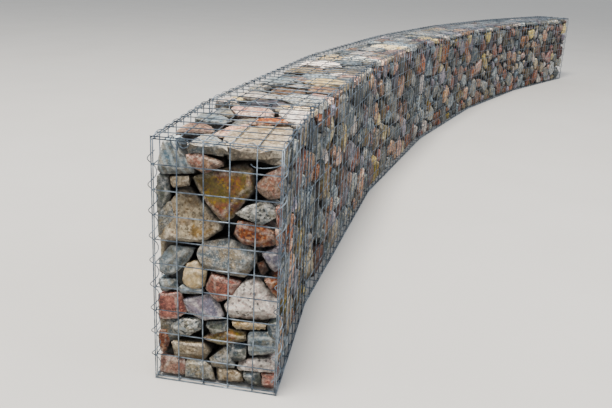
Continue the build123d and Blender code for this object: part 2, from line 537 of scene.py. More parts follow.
@dataclass(frozen=True)
class WallPlan:
    """The wall's plan, from the same driving sizes as the CAD pieces, in metres and degrees."""

    width: float = 0.5
    first_bay: float = 0.8
    bay: float = 2.0
    bay_count: int = 6
    near_end_heading: float = 0.0
    first_heading: float = -3.0
    turn: float = 6.0
    pitch: float = 0.1
    wire: float = 0.005

    @property
    def height(self) -> float:
        """The baskets' height, from the top of the first lid."""
        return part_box("lid_1")[1].z

    @property
    def sheet(self) -> float:
        """Thickness of a welded sheet: two wires that cross."""
        return 2 * self.wire

    @property
    def upright(self) -> tuple[float, float]:
        """Where an upright sheet starts and ends, between base and lid."""
        return self.sheet, self.height - self.sheet

    def length(self, number: int) -> float:
        """How long a basket is, of which the first is cut short."""
        return self.bay if number else self.first_bay

    def headings(self) -> list[float]:
        """Each bay's heading in degrees, from +Y towards +X."""
        return [self.first_heading + self.turn * bay for bay in range(self.bay_count)]

    def station_headings(self) -> list[float]:
        """The heading square to each station, which halves the turn between two bays."""
        bays = self.headings()
        return [self.near_end_heading, *(heading + self.turn / 2 for heading in bays[:-1]), bays[-1]]

    def corners(self) -> tuple[list[Vector], list[Vector]]:
        """Finds the plan's corners.

        Returns:
            The front corners and the back corners, one of each for every station.
        """
        bays = self.headings()
        front = [Vector((0, 0, 0))]
        for number, heading in enumerate(bays):
            front.append(front[-1] + self.length(number) * ahead(math.radians(heading)))
        back = []
        for number, (corner, heading) in enumerate(zip(front, self.station_headings())):
            half_turn = math.radians(heading - bays[min(number, self.bay_count - 1)])
            back.append(corner + athwart(math.radians(heading)) * (self.width / math.cos(half_turn)))
        every = front + back
        centre = [(min(c[k] for c in every) + max(c[k] for c in every)) / 2 for k in (0, 1)]
        middle = Vector((*centre, 0))
        return [c - middle for c in front], [c - middle for c in back]

    def bays(self) -> list[Bay]:
        """Works out each basket's place.

        Returns:
            The baskets, in order from the near end.
        """
        stations = self.station_headings()
        made = []
        for number, (corner, heading) in enumerate(zip(self.corners()[0], self.headings())):
            skews = [math.tan(math.radians(stations[number + k] - heading)) for k in (0, 1)]
            size = self.length(number), self.width, self.height
            made.append(Bay(number + 1, corner, math.radians(heading), *size, *skews))
        return made


def finish_piece(name: str, mesh: bpy.types.Mesh, replaced: Sequence[str] = ()) -> None:
    """Puts a mesh in the scene as a piece of the wall, and reports it.

    Args:
        name: The piece's name.
        mesh: Its mesh, in the frame.
        replaced: The CAD nodes it stands for.
    """
    piece = bpy.data.objects.new(name, mesh)
    bpy.context.scene.collection.objects.link(piece)
    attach(piece, "root")
    if replaced:
        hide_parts(*replaced)
    log.info("%s: %d triangles", name, sum(len(face.vertices) - 2 for face in mesh.polygons))


@dataclass
class WireWork:
    """Round wires of one thickness that make one piece."""

    radius: float
    sides: int = 6
    vertices: list[Array] = field(default_factory=list)
    faces: list[tuple[int, ...]] = field(default_factory=list)

    def wire(self, path: Polyline) -> None:
        """Adds a wire with closed ends along a path of two points or more.

        Args:
            path: Its centre line.
        """
        path = np.asarray(path, float)
        steps = unit(np.diff(path, axis=0))
        tangents = unit(np.vstack([steps[:1], steps[:-1] + steps[1:], steps[-1:]]))
        normal = np.cross(tangents[0], np.eye(3)[np.argmin(np.abs(tangents[0]))])
        turns = 2 * math.pi * np.arange(self.sides) / self.sides
        cosines, sines = np.cos(turns)[:, None], np.sin(turns)[:, None]
        n, first = self.sides, sum(len(ring) for ring in self.vertices)
        rings = []
        for point, tangent in zip(path, tangents):
            normal = unit(normal - tangent * (normal @ tangent))
            rings.append(point + self.radius * (cosines * normal + sines * np.cross(tangent, normal)))
        self.vertices.append(np.vstack(rings))
        last = first + (len(path) - 1) * n
        for low in range(first, last, n):
            for k in range(n):
                after = (k + 1) % n
                self.faces.append((low + k, low + after, low + n + after, low + n + k))
        self.faces.append(tuple(range(first + n - 1, first - 1, -1)))
        self.faces.append(tuple(range(last, last + n)))

    def mesh(self, name: str, material: bpy.types.Material) -> bpy.types.Mesh:
        """Makes the mesh of all its wires.

        Args:
            name: The mesh's name.
            material: Its one material.

        Returns:
            The mesh, smooth along the wires.
        """
        mesh = bpy.data.meshes.new(name)
        mesh.from_pydata(np.vstack(self.vertices).tolist(), [], self.faces)
        mesh.polygons.foreach_set("use_smooth", np.ones(len(mesh.polygons), bool))
        mesh.materials.append(material)
        return mesh


@dataclass
class WeldedSheet:
    """A welded mesh sheet: cross wires on its outer face, long wires inside them.

    The sheet lies in the plane of origin, u and v, and w points out of the basket. Long wires run
    along u from the start line to the end line, and cross wires along v.
    """

    origin: Array
    u: Array
    v: Array
    w: Array
    starts: tuple[float, float]
    ends: tuple[float, float]
    low: float
    high: float
    pitch: float
    wire: float
    rng: np.random.Generator
    margin: float
    bow: float
    waviness: float = 1.4 * MM
    most_sway: float = 2.5
    span_cells: float = 2.5
    edge_slack: float = 0.35

    def line_at(self, line: tuple[float, float], v: float) -> float:
        """How far along u a start or end line is, at v."""
        return line[0] + (line[1] - line[0]) * (v - self.low) / (self.high - self.low)

    def places(self, low: float, high: float) -> list[float]:
        """Spaces wires over a length.

        Args:
            low: Where the sheet starts.
            high: Where it ends.

        Returns:
            Their centres, about a mesh pitch apart, with one at each edge.
        """
        cells = max(1, round((high - low) / self.pitch))
        inner = [low + (high - low) * k / cells for k in range(1, cells)]
        return [low + self.wire / 2, *inner, high - self.wire / 2]

    def path(
        self, start: tuple[float, float], end: tuple[float, float], depth: float, is_edge: bool
    ) -> Polyline:
        """A wire that is nearly straight, as drawn and welded wire is.

        Args:
            start: Its first point (u, v).
            end: Its last point (u, v).
            depth: How far inside the sheet's outer face its centre lies.
            is_edge: True for an edge wire, which lies straighter.

        Returns:
            The centre line in the frame.
        """
        length = math.dist(start, end)
        spans = max(2, round(length / (self.span_cells * self.pitch)))
        share = np.linspace(0, 1, spans + 1)[:, None]
        slack = self.edge_slack if is_edge else 1.0
        aside = np.array([start[1] - end[1], end[0] - start[0]]) / length
        sway = self.rng.normal(0, self.waviness * slack, (spans + 1, 1))
        sway[0] = sway[-1] = 0
        most = self.most_sway * self.waviness
        flat = np.array(start) * (1 - share) + np.array(end) * share + aside * np.clip(sway, -most, most)
        inward = depth - self.rng.uniform(0, self.bow * slack) * np.sin(math.pi * share)
        return self.origin + flat[:, :1] * self.u + flat[:, 1:] * self.v - inward * self.w

    def wires(self) -> list[Polyline]:
        """Draws all its wires.

        Returns:
            The centre lines of the cross wires, and then of the long wires.
        """
        half = self.wire / 2
        inner = self.places(self.starts[0] - self.margin, self.ends[0] + self.margin)[1:-1]
        made = [self.path((x, self.low), (x, self.high), half, False) for x in inner]
        for line, inward in ((self.starts, half), (self.ends, -half)):
            foot, head = (line[0] + inward, self.low), (line[1] + inward, self.high)
            made.append(self.path(foot, head, half, True))
        rows = self.places(self.low, self.high)
        for v in rows:
            start, end = ((self.line_at(line, v), v) for line in (self.starts, self.ends))
            made.append(self.path(start, end, 3 * half, v in (rows[0], rows[-1])))
        return made


@dataclass(frozen=True)
class Lacing:
    """Spiral binders: a coil of wire that winds once through each mesh cell along an edge."""

    radius: float = 17 * MM
    wire: float = 4 * MM
    steps: int = 10

    def coil(self, start: Array, end: Array, outward: Array, turns: int, phase: float = 0.0) -> Polyline:
        """A coil along an edge.

        Args:
            start: Where its axis starts.
            end: Where its axis ends.
            outward: The direction that phases are counted from.
            turns: How many whole turns it has.
            phase: Where the coil starts, in degrees.

        Returns:
            Its centre line.
        """
        start, end, outward = (np.asarray(vector, float) for vector in (start, end, outward))
        axis = unit(end - start)
        first = unit(outward - axis * (outward @ axis))
        share = np.linspace(0, 1, turns * self.steps + 1)[:, None]
        angle = math.radians(phase) + 2 * math.pi * turns * share
        around = np.cos(angle) * first + np.sin(angle) * np.cross(axis, first)
        return start + (end - start) * share + self.radius * around


@dataclass
class MeshWork:
    """All welded sheets and lacing of the wall."""

    plan: WallPlan
    zinc: bpy.types.Material
    rng: np.random.Generator
    slot: str = "galvanised_wire"
    bow: float = 2.5 * MM
    corners: Lacing = Lacing()
    joints: Lacing = Lacing(radius=10 * MM)
    end_edges: Lacing = Lacing(radius=12.6 * MM)
    long_edges: Lacing = Lacing(radius=12 * MM)
    corner_phase: float = -30.0
    end_phase: float = -26.0
    # In wires: the spirals draw an end sheet's edge wires close to those of the long sides
    end_inset: float = 1.4

    def piece(
        self, name: str, paths: Sequence[Polyline], wire: float, replaced: Sequence[str] = ()
    ) -> None:
        """Makes one piece of wires.

        Args:
            name: The piece's name.
            paths: The wires' centre lines.
            wire: Their thickness.
            replaced: The CAD nodes it stands for.
        """
        work = WireWork(wire / 2)
        for path in paths:
            work.wire(path)
        finish_piece(name, work.mesh(name, self.zinc), replaced)

    def sheet(
        self,
        name: str,
        origin: Vector,
        axes: tuple[Vector, Vector, Vector],
        lines: tuple[tuple[float, float], tuple[float, float]],
        rise: tuple[float, float],
        margin: float = 0.0,
    ) -> None:
        """Makes one welded sheet in place of its CAD node.

        Args:
            name: The CAD node's name.
            origin: A corner on its outer face.
            axes: Its u, v and w directions.
            lines: Its start line and end line along u.
            rise: Where it starts and ends along v.
            margin: How much further than its edges the mesh that its cross wires line up with reaches.
        """
        place = [np.array(vector, float) for vector in (origin, *axes)]
        # A base lies flat on the ground
        bow = 0.0 if axes[2].z < 0 else self.bow
        plan = self.plan
        welded = WeldedSheet(*place, *lines, *rise, plan.pitch, plan.wire, self.rng, margin, bow)
        self.piece(f"{name}_wires", welded.wires(), plan.wire, [name])

    def sheets(self) -> None:
        """Makes the front, back, lid and base sheets of every basket."""
        plan = self.plan
        width = (0.0, plan.width)
        for bay in plan.bays():
            along, across = bay.along, bay.across
            back, top = bay.corner + across * plan.width, bay.corner + UP * plan.height
            square = (0.0, 0.0), (bay.length, bay.length)
            behind = tuple((end, end) for end in bay.ends_at(plan.width - plan.sheet))
            start, end = bay.ends_at(plan.width)
            skewed = (0.0, start), (bay.length, end)
            number = bay.number
            self.sheet(f"front_sheet_{number}", bay.corner, (along, UP, -across), square, plan.upright)
            self.sheet(f"back_sheet_{number}", back, (along, UP, across), behind, plan.upright)
            self.sheet(f"lid_{number}", top, (along, across, UP), skewed, width)
            self.sheet(f"base_{number}", bay.corner, (along, across, -UP), skewed, width)

    def cross_sheets(self) -> None:
        """Makes the two end sheets and the dividers between baskets."""
        plan = self.plan
        front, back = plan.corners()
        ends = {0: "near_end_sheet", plan.bay_count: "far_end_sheet"}
        divider_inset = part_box("near_end_sheet")[0].x - back[0].x
        for station, heading in enumerate(plan.station_headings()):
            forward = ahead(math.radians(heading))
            reach = (back[station] - front[station]).length
            across = (back[station] - front[station]) / reach
            name = ends.get(station, f"divider_{station}")
            inset = self.end_inset * plan.wire if station in ends else divider_inset
            origin = front[station] if station in ends else front[station] - forward * plan.wire
            axes = across, UP, forward if station == plan.bay_count else -forward
            lines = (inset, inset), (reach - inset, reach - inset)
            self.sheet(name, origin, axes, lines, plan.upright, inset)

    def corner_axis(self, station: int, side: Side, inset: float) -> tuple[Vector, Vector]:
        """Where a coil's axis stands at a station's corner.

        Args:
            station: The station's number.
            side: Which long side of the wall.
            inset: How far inside the end's outer face it stands, at the two ends.

        Returns:
            The axis's place on the ground, and the outward direction across the wall.
        """
        plan = self.plan
        front, back = plan.corners()
        heading = math.radians(plan.station_headings()[station])
        across, along = athwart(heading), ahead(heading)
        corner, outward = (front[station], -across) if side is Side.FRONT else (back[station], across)
        inward = {0: along, plan.bay_count: -along}.get(station, Vector((0, 0, 0)))
        return corner + inward * inset - outward * plan.wire, outward

    def upright_coils(self) -> None:
        """Laces the four corners, and the sheets to the divider at each joint."""
        plan = self.plan
        turns = math.ceil(plan.height / plan.pitch) - 1
        foot = (plan.height - turns * plan.pitch) / 2
        for station in range(plan.bay_count + 1):
            for k, side in enumerate(Side):
                base, outward = self.corner_axis(station, side, plan.wire)
                low = base + foot * UP
                high = low + turns * plan.pitch * UP
                if station in (0, plan.bay_count):
                    number = 1 + k + (2 if station else 0)
                    path = self.corners.coil(low, high, -outward, turns, self.corner_phase)
                    replaced = [f"corner_spiral_{number}"]
                    self.piece(f"corner_coil_{number}", [path], self.corners.wire, replaced)
                else:
                    path = self.joints.coil(low, high, -outward, turns)
                    self.piece(f"{side.value}_joint_coil_{station}", [path], self.joints.wire)

    def end_coils(self) -> None:
        """Laces the lid to the two ends, as the CAD's top spirals do, and the lids to each other."""
        plan = self.plan
        ends = {0: "near_end", plan.bay_count: "far_end"}
        rise = Vector((0, 0, plan.height - 1.5 * plan.wire))
        for station in range(plan.bay_count + 1):
            near, _ = self.corner_axis(station, Side.FRONT, plan.wire)
            far, outward = self.corner_axis(station, Side.BACK, plan.wire)
            near, far = near - outward * plan.wire, far + outward * plan.wire
            inward = Vector((-outward.y, outward.x, 0))
            if station == 0:
                near, far, inward = far, near, -inward
            cells = round((far - near).length / plan.pitch)
            inset = (far - near) / (2 * cells)
            start, end = near + inset + rise, far - inset + rise
            path = self.end_edges.coil(start, end, inward, cells - 1, self.end_phase)
            end_name = ends.get(station)
            name = f"{end_name}_coil" if end_name else f"lid_joint_coil_{station}"
            replaced = [f"{end_name}_top_spiral"] if end_name else []
            self.piece(name, [path], self.end_edges.wire, replaced)

    def top_coils(self) -> None:
        """Laces the lids to the front and back sheets."""
        plan = self.plan
        rise = Vector((0, 0, plan.height - plan.sheet))
        for side in Side:
            paths = []
            for bay in plan.bays():
                start, end = (self.corner_axis(bay.number - k, side, 0.0)[0] for k in (1, 0))
                turns = round(bay.length / plan.pitch)
                inset = (end - start) / (2 * turns)
                start, end = start + inset + rise, end - inset + rise
                paths.append(self.long_edges.coil(start, end, -UP, turns - 1))
            self.piece(f"{side.value}_top_coils", paths, self.long_edges.wire)


def flowing(points: Sequence[Sequence[float]], steps: int = 5) -> Polyline:
    """A smooth line through points.

    Args:
        points: Points in any frame, at least two.
        steps: How many short runs lie between two of them.

    Returns:
        The line's points.
    """
    known = np.array(points, float)
    known = np.vstack([2 * known[0] - known[1], known, 2 * known[-1] - known[-2]])
    made = []
    for before, start, end, after in zip(known, known[1:], known[2:], known[3:]):
        for u in np.arange(steps) / steps:
            bend = 2 * before - 5 * start + 4 * end - after
            twist = -before + 3 * start - 3 * end + after
            made.append(start + 0.5 * (u * (end - before) + u**2 * bend + u**3 * twist))
    return np.vstack([made, known[-2]])


@dataclass(frozen=True)
class TieWires:
    """Loose tie wires near the top of the near end, bent by hand.

    Points are in millimetres: from the end's left edge, behind its face, and down from its top.
    """

    bay: Bay
    wire: float = 4 * MM
    corner_tie: Triples = (
        (492, 3, 22), (498, 2, 44), (486, 5, 66), (455, 14, 80), (415, 16, 87), (388, 12, 84),
        (372, 20, 76),
    )
    ring: Triples = (
        (98, 22, 6), (112, 12, 2), (136, 3, 3), (148, 2, 16), (141, 2, 30), (124, 3, 36),
        (108, 8, 28), (100, 16, 14), (112, 24, 8),
    )
    fallen_end: Triples = (
        (70, 60, 3), (73, 26, 5), (76, 8, 14), (84, 3, 30), (94, 2, 42), (103, 3, 47),
        (104, 4, 34), (98, 6, 24),
    )
    knot_turns: float = 3.2
    knot_pitch: float = 9.0
    knot_radius: float = 13.0
    knot_tightening: float = 0.8
    knot_points: int = 33
    # Before the joint, behind the front and down from the top
    knot_place: tuple[float, float, float] = (14.0, 6.0, 8.0)
    # Each hook's place across the wall in metres, and the radius of its curl
    hooks: Pairs = ((0.1, 9.0), (0.2, 7.0), (0.3, 8.0), (0.4, 10.0))
    hook_inset: float = 12.0
    hook_flatness: float = 0.85
    hook_points: int = 15
    # Where each curl starts and ends, in half turns, and how far it drifts across the wall
    hook_turns: tuple[float, float] = (-0.5, 1.25)
    hook_drift: tuple[float, float] = (3, 9)

    def in_frame(self, points: Sequence[Sequence[float]]) -> Polyline:
        """Bends a smooth wire through points of the near end.

        Args:
            points: The points, in the measure of this class.

        Returns:
            Its centre line in the frame.
        """
        bay = self.bay
        line = flowing(points) * MM
        t = bay.width - line[:, 0]
        return bay.to_frame(np.c_[line[:, 1] + t * bay.start_skew, t, bay.height - line[:, 2]])

    def knot(self) -> Polyline:
        """Winds a tie three times around the front edge where the first two lids meet.

        Returns:
            Its centre line in the frame.
        """
        bay = self.bay
        turns = np.linspace(0, self.knot_turns, self.knot_points)
        angle = 2 * math.pi * turns
        radius = (self.knot_radius - self.knot_tightening * turns) * MM
        before, behind, down = (distance * MM for distance in self.knot_place)
        s = bay.length - before + self.knot_pitch * MM * turns
        z = bay.height - down + radius * np.sin(angle)
        return bay.to_frame(np.c_[s, behind + radius * np.cos(angle), z])

    def lid_hooks(self) -> list[Polyline]:
        """Bends the ends of the first lid's long wires into small curls at the joint.

        Returns:
            Their centre lines in the frame.
        """
        bay, inset, count = self.bay, self.hook_inset * MM, self.hook_points
        angle = np.linspace(*(turn * math.pi for turn in self.hook_turns), count)
        made = []
        for place, size in self.hooks:
            s = bay.length - inset + size * MM * np.cos(angle)
            z = bay.height - inset + size * MM * (1 + np.sin(angle)) * self.hook_flatness
            t = place * np.ones(count) + np.linspace(*self.hook_drift, count) * MM
            made.append(bay.to_frame(np.c_[s, t, z]))
        return made

    def paths(self) -> list[Polyline]:
        """Bends all the tie wires.

        Returns:
            Their centre lines in the frame.
        """
        routes = (self.corner_tie, self.ring, self.fallen_end)
        return [self.in_frame(route) for route in routes] + [self.knot(), *self.lid_hooks()]


def block_grid(counts: Sequence[int]) -> tuple[Array, Array]:
    """The surface of a block as a grid.

    Args:
        counts: How many cells the block has along each axis.

    Returns:
        Its corners, counted in cells, and the squares between them.
    """
    index: dict[tuple[int, ...], int] = {}
    squares: list[list[int]] = []
    for axis in range(3):
        first, second = (axis + 1) % 3, (axis + 2) % 3
        for level in (0, counts[axis]):
            for i in range(counts[first]):
                for j in range(counts[second]):
                    corners = []
                    for a, b in ((i, j), (i + 1, j), (i + 1, j + 1), (i, j + 1)):
                        key = [0, 0, 0]
                        key[axis], key[first], key[second] = level, a, b
                        corners.append(index.setdefault(tuple(key), len(index)))
                    squares.append(corners if level else corners[::-1])
    return np.array(list(index), float), np.array(squares)


@lru_cache(maxsize=None)
def round_grid(cells: int) -> tuple[Array, Array]:
    """A ball made from a cube whose faces are grids.

    Args:
        cells: Cells along each edge of the cube.

    Returns:
        Directions, and the triangles between them.
    """
    corners, squares = block_grid((cells, cells, cells))
    cube = np.tan((corners * 2 / cells - 1) * math.pi / 4)
    return unit(cube), squares[:, [0, 1, 2, 0, 2, 3]].reshape(-1, 3)


@dataclass
class StoneShape:
    """What shapes one stone: flat faces around its centre, and how worn its edges are."""

    centre: Array
    normals: Array
    offsets: Array
    outward: Array
    rock: Rock
    cells: int
    sharpness: float
    worn: float
    chips: int
    tone: float
    tone_spread: float
    chip_depth: tuple[float, float] = (0.84, 0.97)
    warmth: tuple[float, float] = (0.0, 1.0)
    lumps: float = 0.028
    roughness: float = 2.4 * MM
    slack: float = 0.0
    bears: bool = True


@dataclass
class StoneHeap:
    """Stones that make one piece, with what their materials read."""

    bay: Bay
    rng: np.random.Generator
    open_start: bool = False
    open_end: bool = False
    clear: float = 11 * MM
    lowest_seat: float = 45 * MM
    # How much of the grid, and of the chips, goes to the side that shows
    grid_bias: float = 0.35
    chip_bias: float = 0.8
    crisp_power: float = 60.0
    snap: float = 0.48
    wear_share: float = 0.22
    swell_share: float = 1.1
    # How smooth each noise is, how much finer each octave is than the last, and how many there are
    swell_noise: tuple[float, float, int] = (1.0, 2.0, 2)
    grit_noise: tuple[float, float, int] = (0.8, 2.1, 3)
    pattern_shift: float = 4.0
    grit: float = 18 * MM
    sharp_angle: float = 32.0
    vertices: list[Array] = field(default_factory=list)
    triangles: list[Array] = field(default_factory=list)
    rocks: list[Array] = field(default_factory=list)
    spaces: list[Array] = field(default_factory=list)
    values: list[Array] = field(default_factory=list)

    def radii(self, directions: Array, normals: Array, offsets: Array, power: float) -> Array:
        """How far a stone with rounded edges reaches in each direction.

        Args:
            directions: Unit directions from the stone's centre.
            normals: Outward normals of its flat faces.
            offsets: How far each face is from the centre.
            power: A high power leaves sharp edges, a low one rounds them.

        Returns:
            One radius for each direction.
        """
        nearness = np.maximum(directions @ normals.T, 0) / offsets
        most = nearness.max(axis=1)
        return 1 / (most * ((nearness / most[:, None]) ** power).sum(axis=1) ** (1 / power))

    def faceted(
        self, directions: Array, normals: Array, offsets: Array, cells: int
    ) -> tuple[Array, Array]:
        """Points on a stone's flat faces, with those beside a ridge or a corner moved onto it.

        Args:
            directions: Unit directions from the stone's centre.
            normals: Outward normals of its flat faces.
            offsets: How far each face is from the centre.
            cells: Cells along each edge of the grid that the directions come from.

        Returns:
            The points, and how near each lies to a ridge, from 0 to 1.
        """
        rows = np.arange(len(directions))
        nearness = np.maximum(directions @ normals.T, 1e-9) / offsets
        own = nearness.argmax(axis=1)
        reach = 1 / nearness[rows, own]
        points = directions * reach[:, None]
        # A little less than half a cell of the grid at the surface
        limit = self.snap * reach * (math.pi / 2) / cells
        alike = normals @ normals.T
        slope = np.sqrt(np.maximum(1 - alike**2, 1e-4))
        aside = (offsets - points @ normals.T) / slope[own]
        aside[rows, own] = np.inf
        other = aside.argmin(axis=1)
        distance = aside[rows, other]
        near = distance < limit
        toward = normals[other] - alike[own, other][:, None] * normals[own]
        toward /= slope[own, other][:, None]
        points[near] += (toward * distance[:, None])[near]
        ridge = np.cross(normals[own], normals[other])
        ridge /= np.linalg.norm(ridge, axis=1)[:, None] + 1e-12
        speed = ridge @ normals.T
        step = (offsets - points @ normals.T) / np.where(np.abs(speed) < 0.05, np.inf, speed)
        step = np.where(step == 0, np.inf, step)
        step[rows, own] = step[rows, other] = np.inf
        length = step[rows, np.abs(step).argmin(axis=1)]
        at_corner = near & (np.abs(length) < limit)
        points[at_corner] += (ridge * length[:, None])[at_corner]
        return points, np.clip(1 - distance / (self.wear_share * reach), 0, 1)

    def chip(self, stone: StoneShape, directions: Array) -> tuple[Array, Array]:
        """Strikes chips off a stone, most of them on the side that shows.

        Args:
            stone: The stone.
            directions: The directions that its surface is worked out in.

        Returns:
            The normals and offsets of all its faces.
        """
        reach = self.radii(directions, stone.normals, stone.offsets, self.crisp_power)
        strikes = unit(self.rng.normal(size=(stone.chips, 3)) + self.chip_bias * stone.outward)
        furthest = ((directions * reach[:, None]) @ strikes.T).max(axis=0)
        depth = self.rng.uniform(*stone.chip_depth, stone.chips)
        return np.vstack([stone.normals, strikes]), np.append(stone.offsets, furthest * depth)

    def add(self, stone: StoneShape) -> None:
        """Shapes a stone and adds it.

        Args:
            stone: What shapes it, in the bay's local frame.
        """
        directions, triangles = round_grid(stone.cells)
        normals, offsets = self.chip(stone, directions)
        leaning = unit(directions + self.grid_bias * stone.outward)
        crisp, wear = self.faceted(leaning, normals, offsets, stone.cells)
        reach = self.radii(leaning, normals, offsets, stone.sharpness)
        around = crisp * (1 - stone.worn) + leaning * reach[:, None] * stone.worn
        start = self.rng.uniform(-self.pattern_shift, self.pattern_shift, 3)
        wide = around / (self.swell_share * float(reach.mean())) + start
        fine = around / self.grit + start
        swell = np.array([noise.fractal(p, *self.swell_noise) for p in wide.tolist()])
        rough = np.array([noise.fractal(p, *self.grit_noise) for p in fine.tolist()])
        grown = 1 + stone.lumps * swell + stone.roughness * rough / np.linalg.norm(around, axis=1)
        local = stone.centre + around * grown[:, None]
        self.bear(local, stone)

        turn = turned(self.rng.normal(size=3), self.rng.uniform(0, 360))
        warmth = self.rng.uniform(*stone.warmth)
        tone = np.clip(stone.tone + self.rng.normal(0, stone.tone_spread), 0, 1)
        self.triangles.append(triangles + sum(len(other) for other in self.vertices))
        self.vertices.append(self.bay.to_frame(local))
        self.rocks.append(np.full(len(triangles), list(Rock).index(stone.rock)))
        self.spaces.append(around @ turn + start)
        even = np.tile([tone, warmth], (len(local), 1))
        self.values.append(np.c_[even, wear, self.recess(local)])

    def bear(self, local: Array, stone: StoneShape) -> None:
        """Moves a stone out until it bears on the mesh, or back inside where it leans through.

        Args:
            local: Its vertices, which are moved in place.
            stone: What shapes it.
        """
        bay, clear = self.bay, self.clear
        if stone.bears:
            gap = clear + self.rng.uniform(0, stone.slack)
            if stone.outward[1]:
                edge = local[:, 1].min() if stone.outward[1] < 0 else bay.width - local[:, 1].max()
                local[:, 1] += stone.outward[1] * (edge - gap)
            elif stone.outward[2]:
                local[:, 2] += bay.height - gap - local[:, 2].max()
            elif stone.outward[0] < 0:
                local[:, 0] += gap - self.behind_end(local).min()
            lowest = local[:, 2].min()
            if lowest < self.lowest_seat:
                local[:, 2] += clear - lowest
        high = np.array([bay.width - clear, bay.height - clear])
        under = np.maximum(clear - local[:, 1:].min(axis=0), 0)
        over = np.maximum(local[:, 1:].max(axis=0) - high, 0)
        local[:, 1:] += under - over
        if self.open_start:
            local[:, 0] += max(0.0, clear - self.behind_end(local).min())

    def behind_end(self, local: Array) -> Array:
        """How far each point lies behind the line across the bay's start."""
        return local[:, 0] - local[:, 1] * self.bay.start_skew

    def recess(self, local: Array) -> Array:
        """Finds how deep each point lies in the fill.

        Args:
            local: The points.

        Returns:
            Their distances behind the nearest face that is open to view.
        """
        bay = self.bay
        depths = [local[:, 1], bay.width - local[:, 1], bay.height - local[:, 2]]
        if self.open_start:
            depths.append(self.behind_end(local))
        if self.open_end:
            depths.append(bay.length + local[:, 1] * bay.end_skew - local[:, 0])
        return np.min(depths, axis=0)

    def mesh(self, name: str, materials: dict[Rock, bpy.types.Material]) -> bpy.types.Mesh:
        """Makes the mesh of all its stones.

        Args:
            name: The mesh's name.
            materials: One material for each rock.

        Returns:
            The mesh, with its attributes and only the materials it uses.
        """
        vertices, triangles = np.vstack(self.vertices), np.vstack(self.triangles)
        rocks = np.concatenate(self.rocks)
        used = np.unique(rocks)
        mesh = bpy.data.meshes.new(name)
        mesh.vertices.add(len(vertices))
        mesh.vertices.foreach_set("co", vertices.ravel())
        mesh.loops.add(triangles.size)
        mesh.loops.foreach_set("vertex_index", triangles.ravel())
        mesh.polygons.add(len(triangles))
        mesh.polygons.foreach_set("loop_start", np.arange(0, triangles.size, 3))
        mesh.polygons.foreach_set("material_index", np.searchsorted(used, rocks))
        mesh.polygons.foreach_set("use_smooth", np.ones(len(triangles), bool))
        for rock in used:
            mesh.materials.append(materials[list(Rock)[rock]])
        space = mesh.attributes.new("stone_space", "FLOAT_VECTOR", "POINT")
        space.data.foreach_set("vector", np.vstack(self.spaces).ravel())
        for label, column in zip(VERTEX_VALUES, np.vstack(self.values).T):
            kept = mesh.attributes.new(label, "FLOAT", "POINT")
            kept.data.foreach_set("value", np.ascontiguousarray(column))
        mesh.update(calc_edges=True)
        mesh.set_sharp_from_angle(angle=math.radians(self.sharp_angle))
        return mesh


# What share of the stones is of each rock, in the order of Rock: on the sides, and on the lid, where
# flat grey stones were laid
SIDE_SHARES: dict[Rock, float] = dict(zip(Rock, (19, 7, 4, 15, 12, 8, 10, 6, 2, 11, 8, 10)))
LID_SHARES: dict[Rock, float] = dict(zip(Rock, (26, 8, 11, 17, 1, 2, 15, 0, 2, 15, 6, 5)))


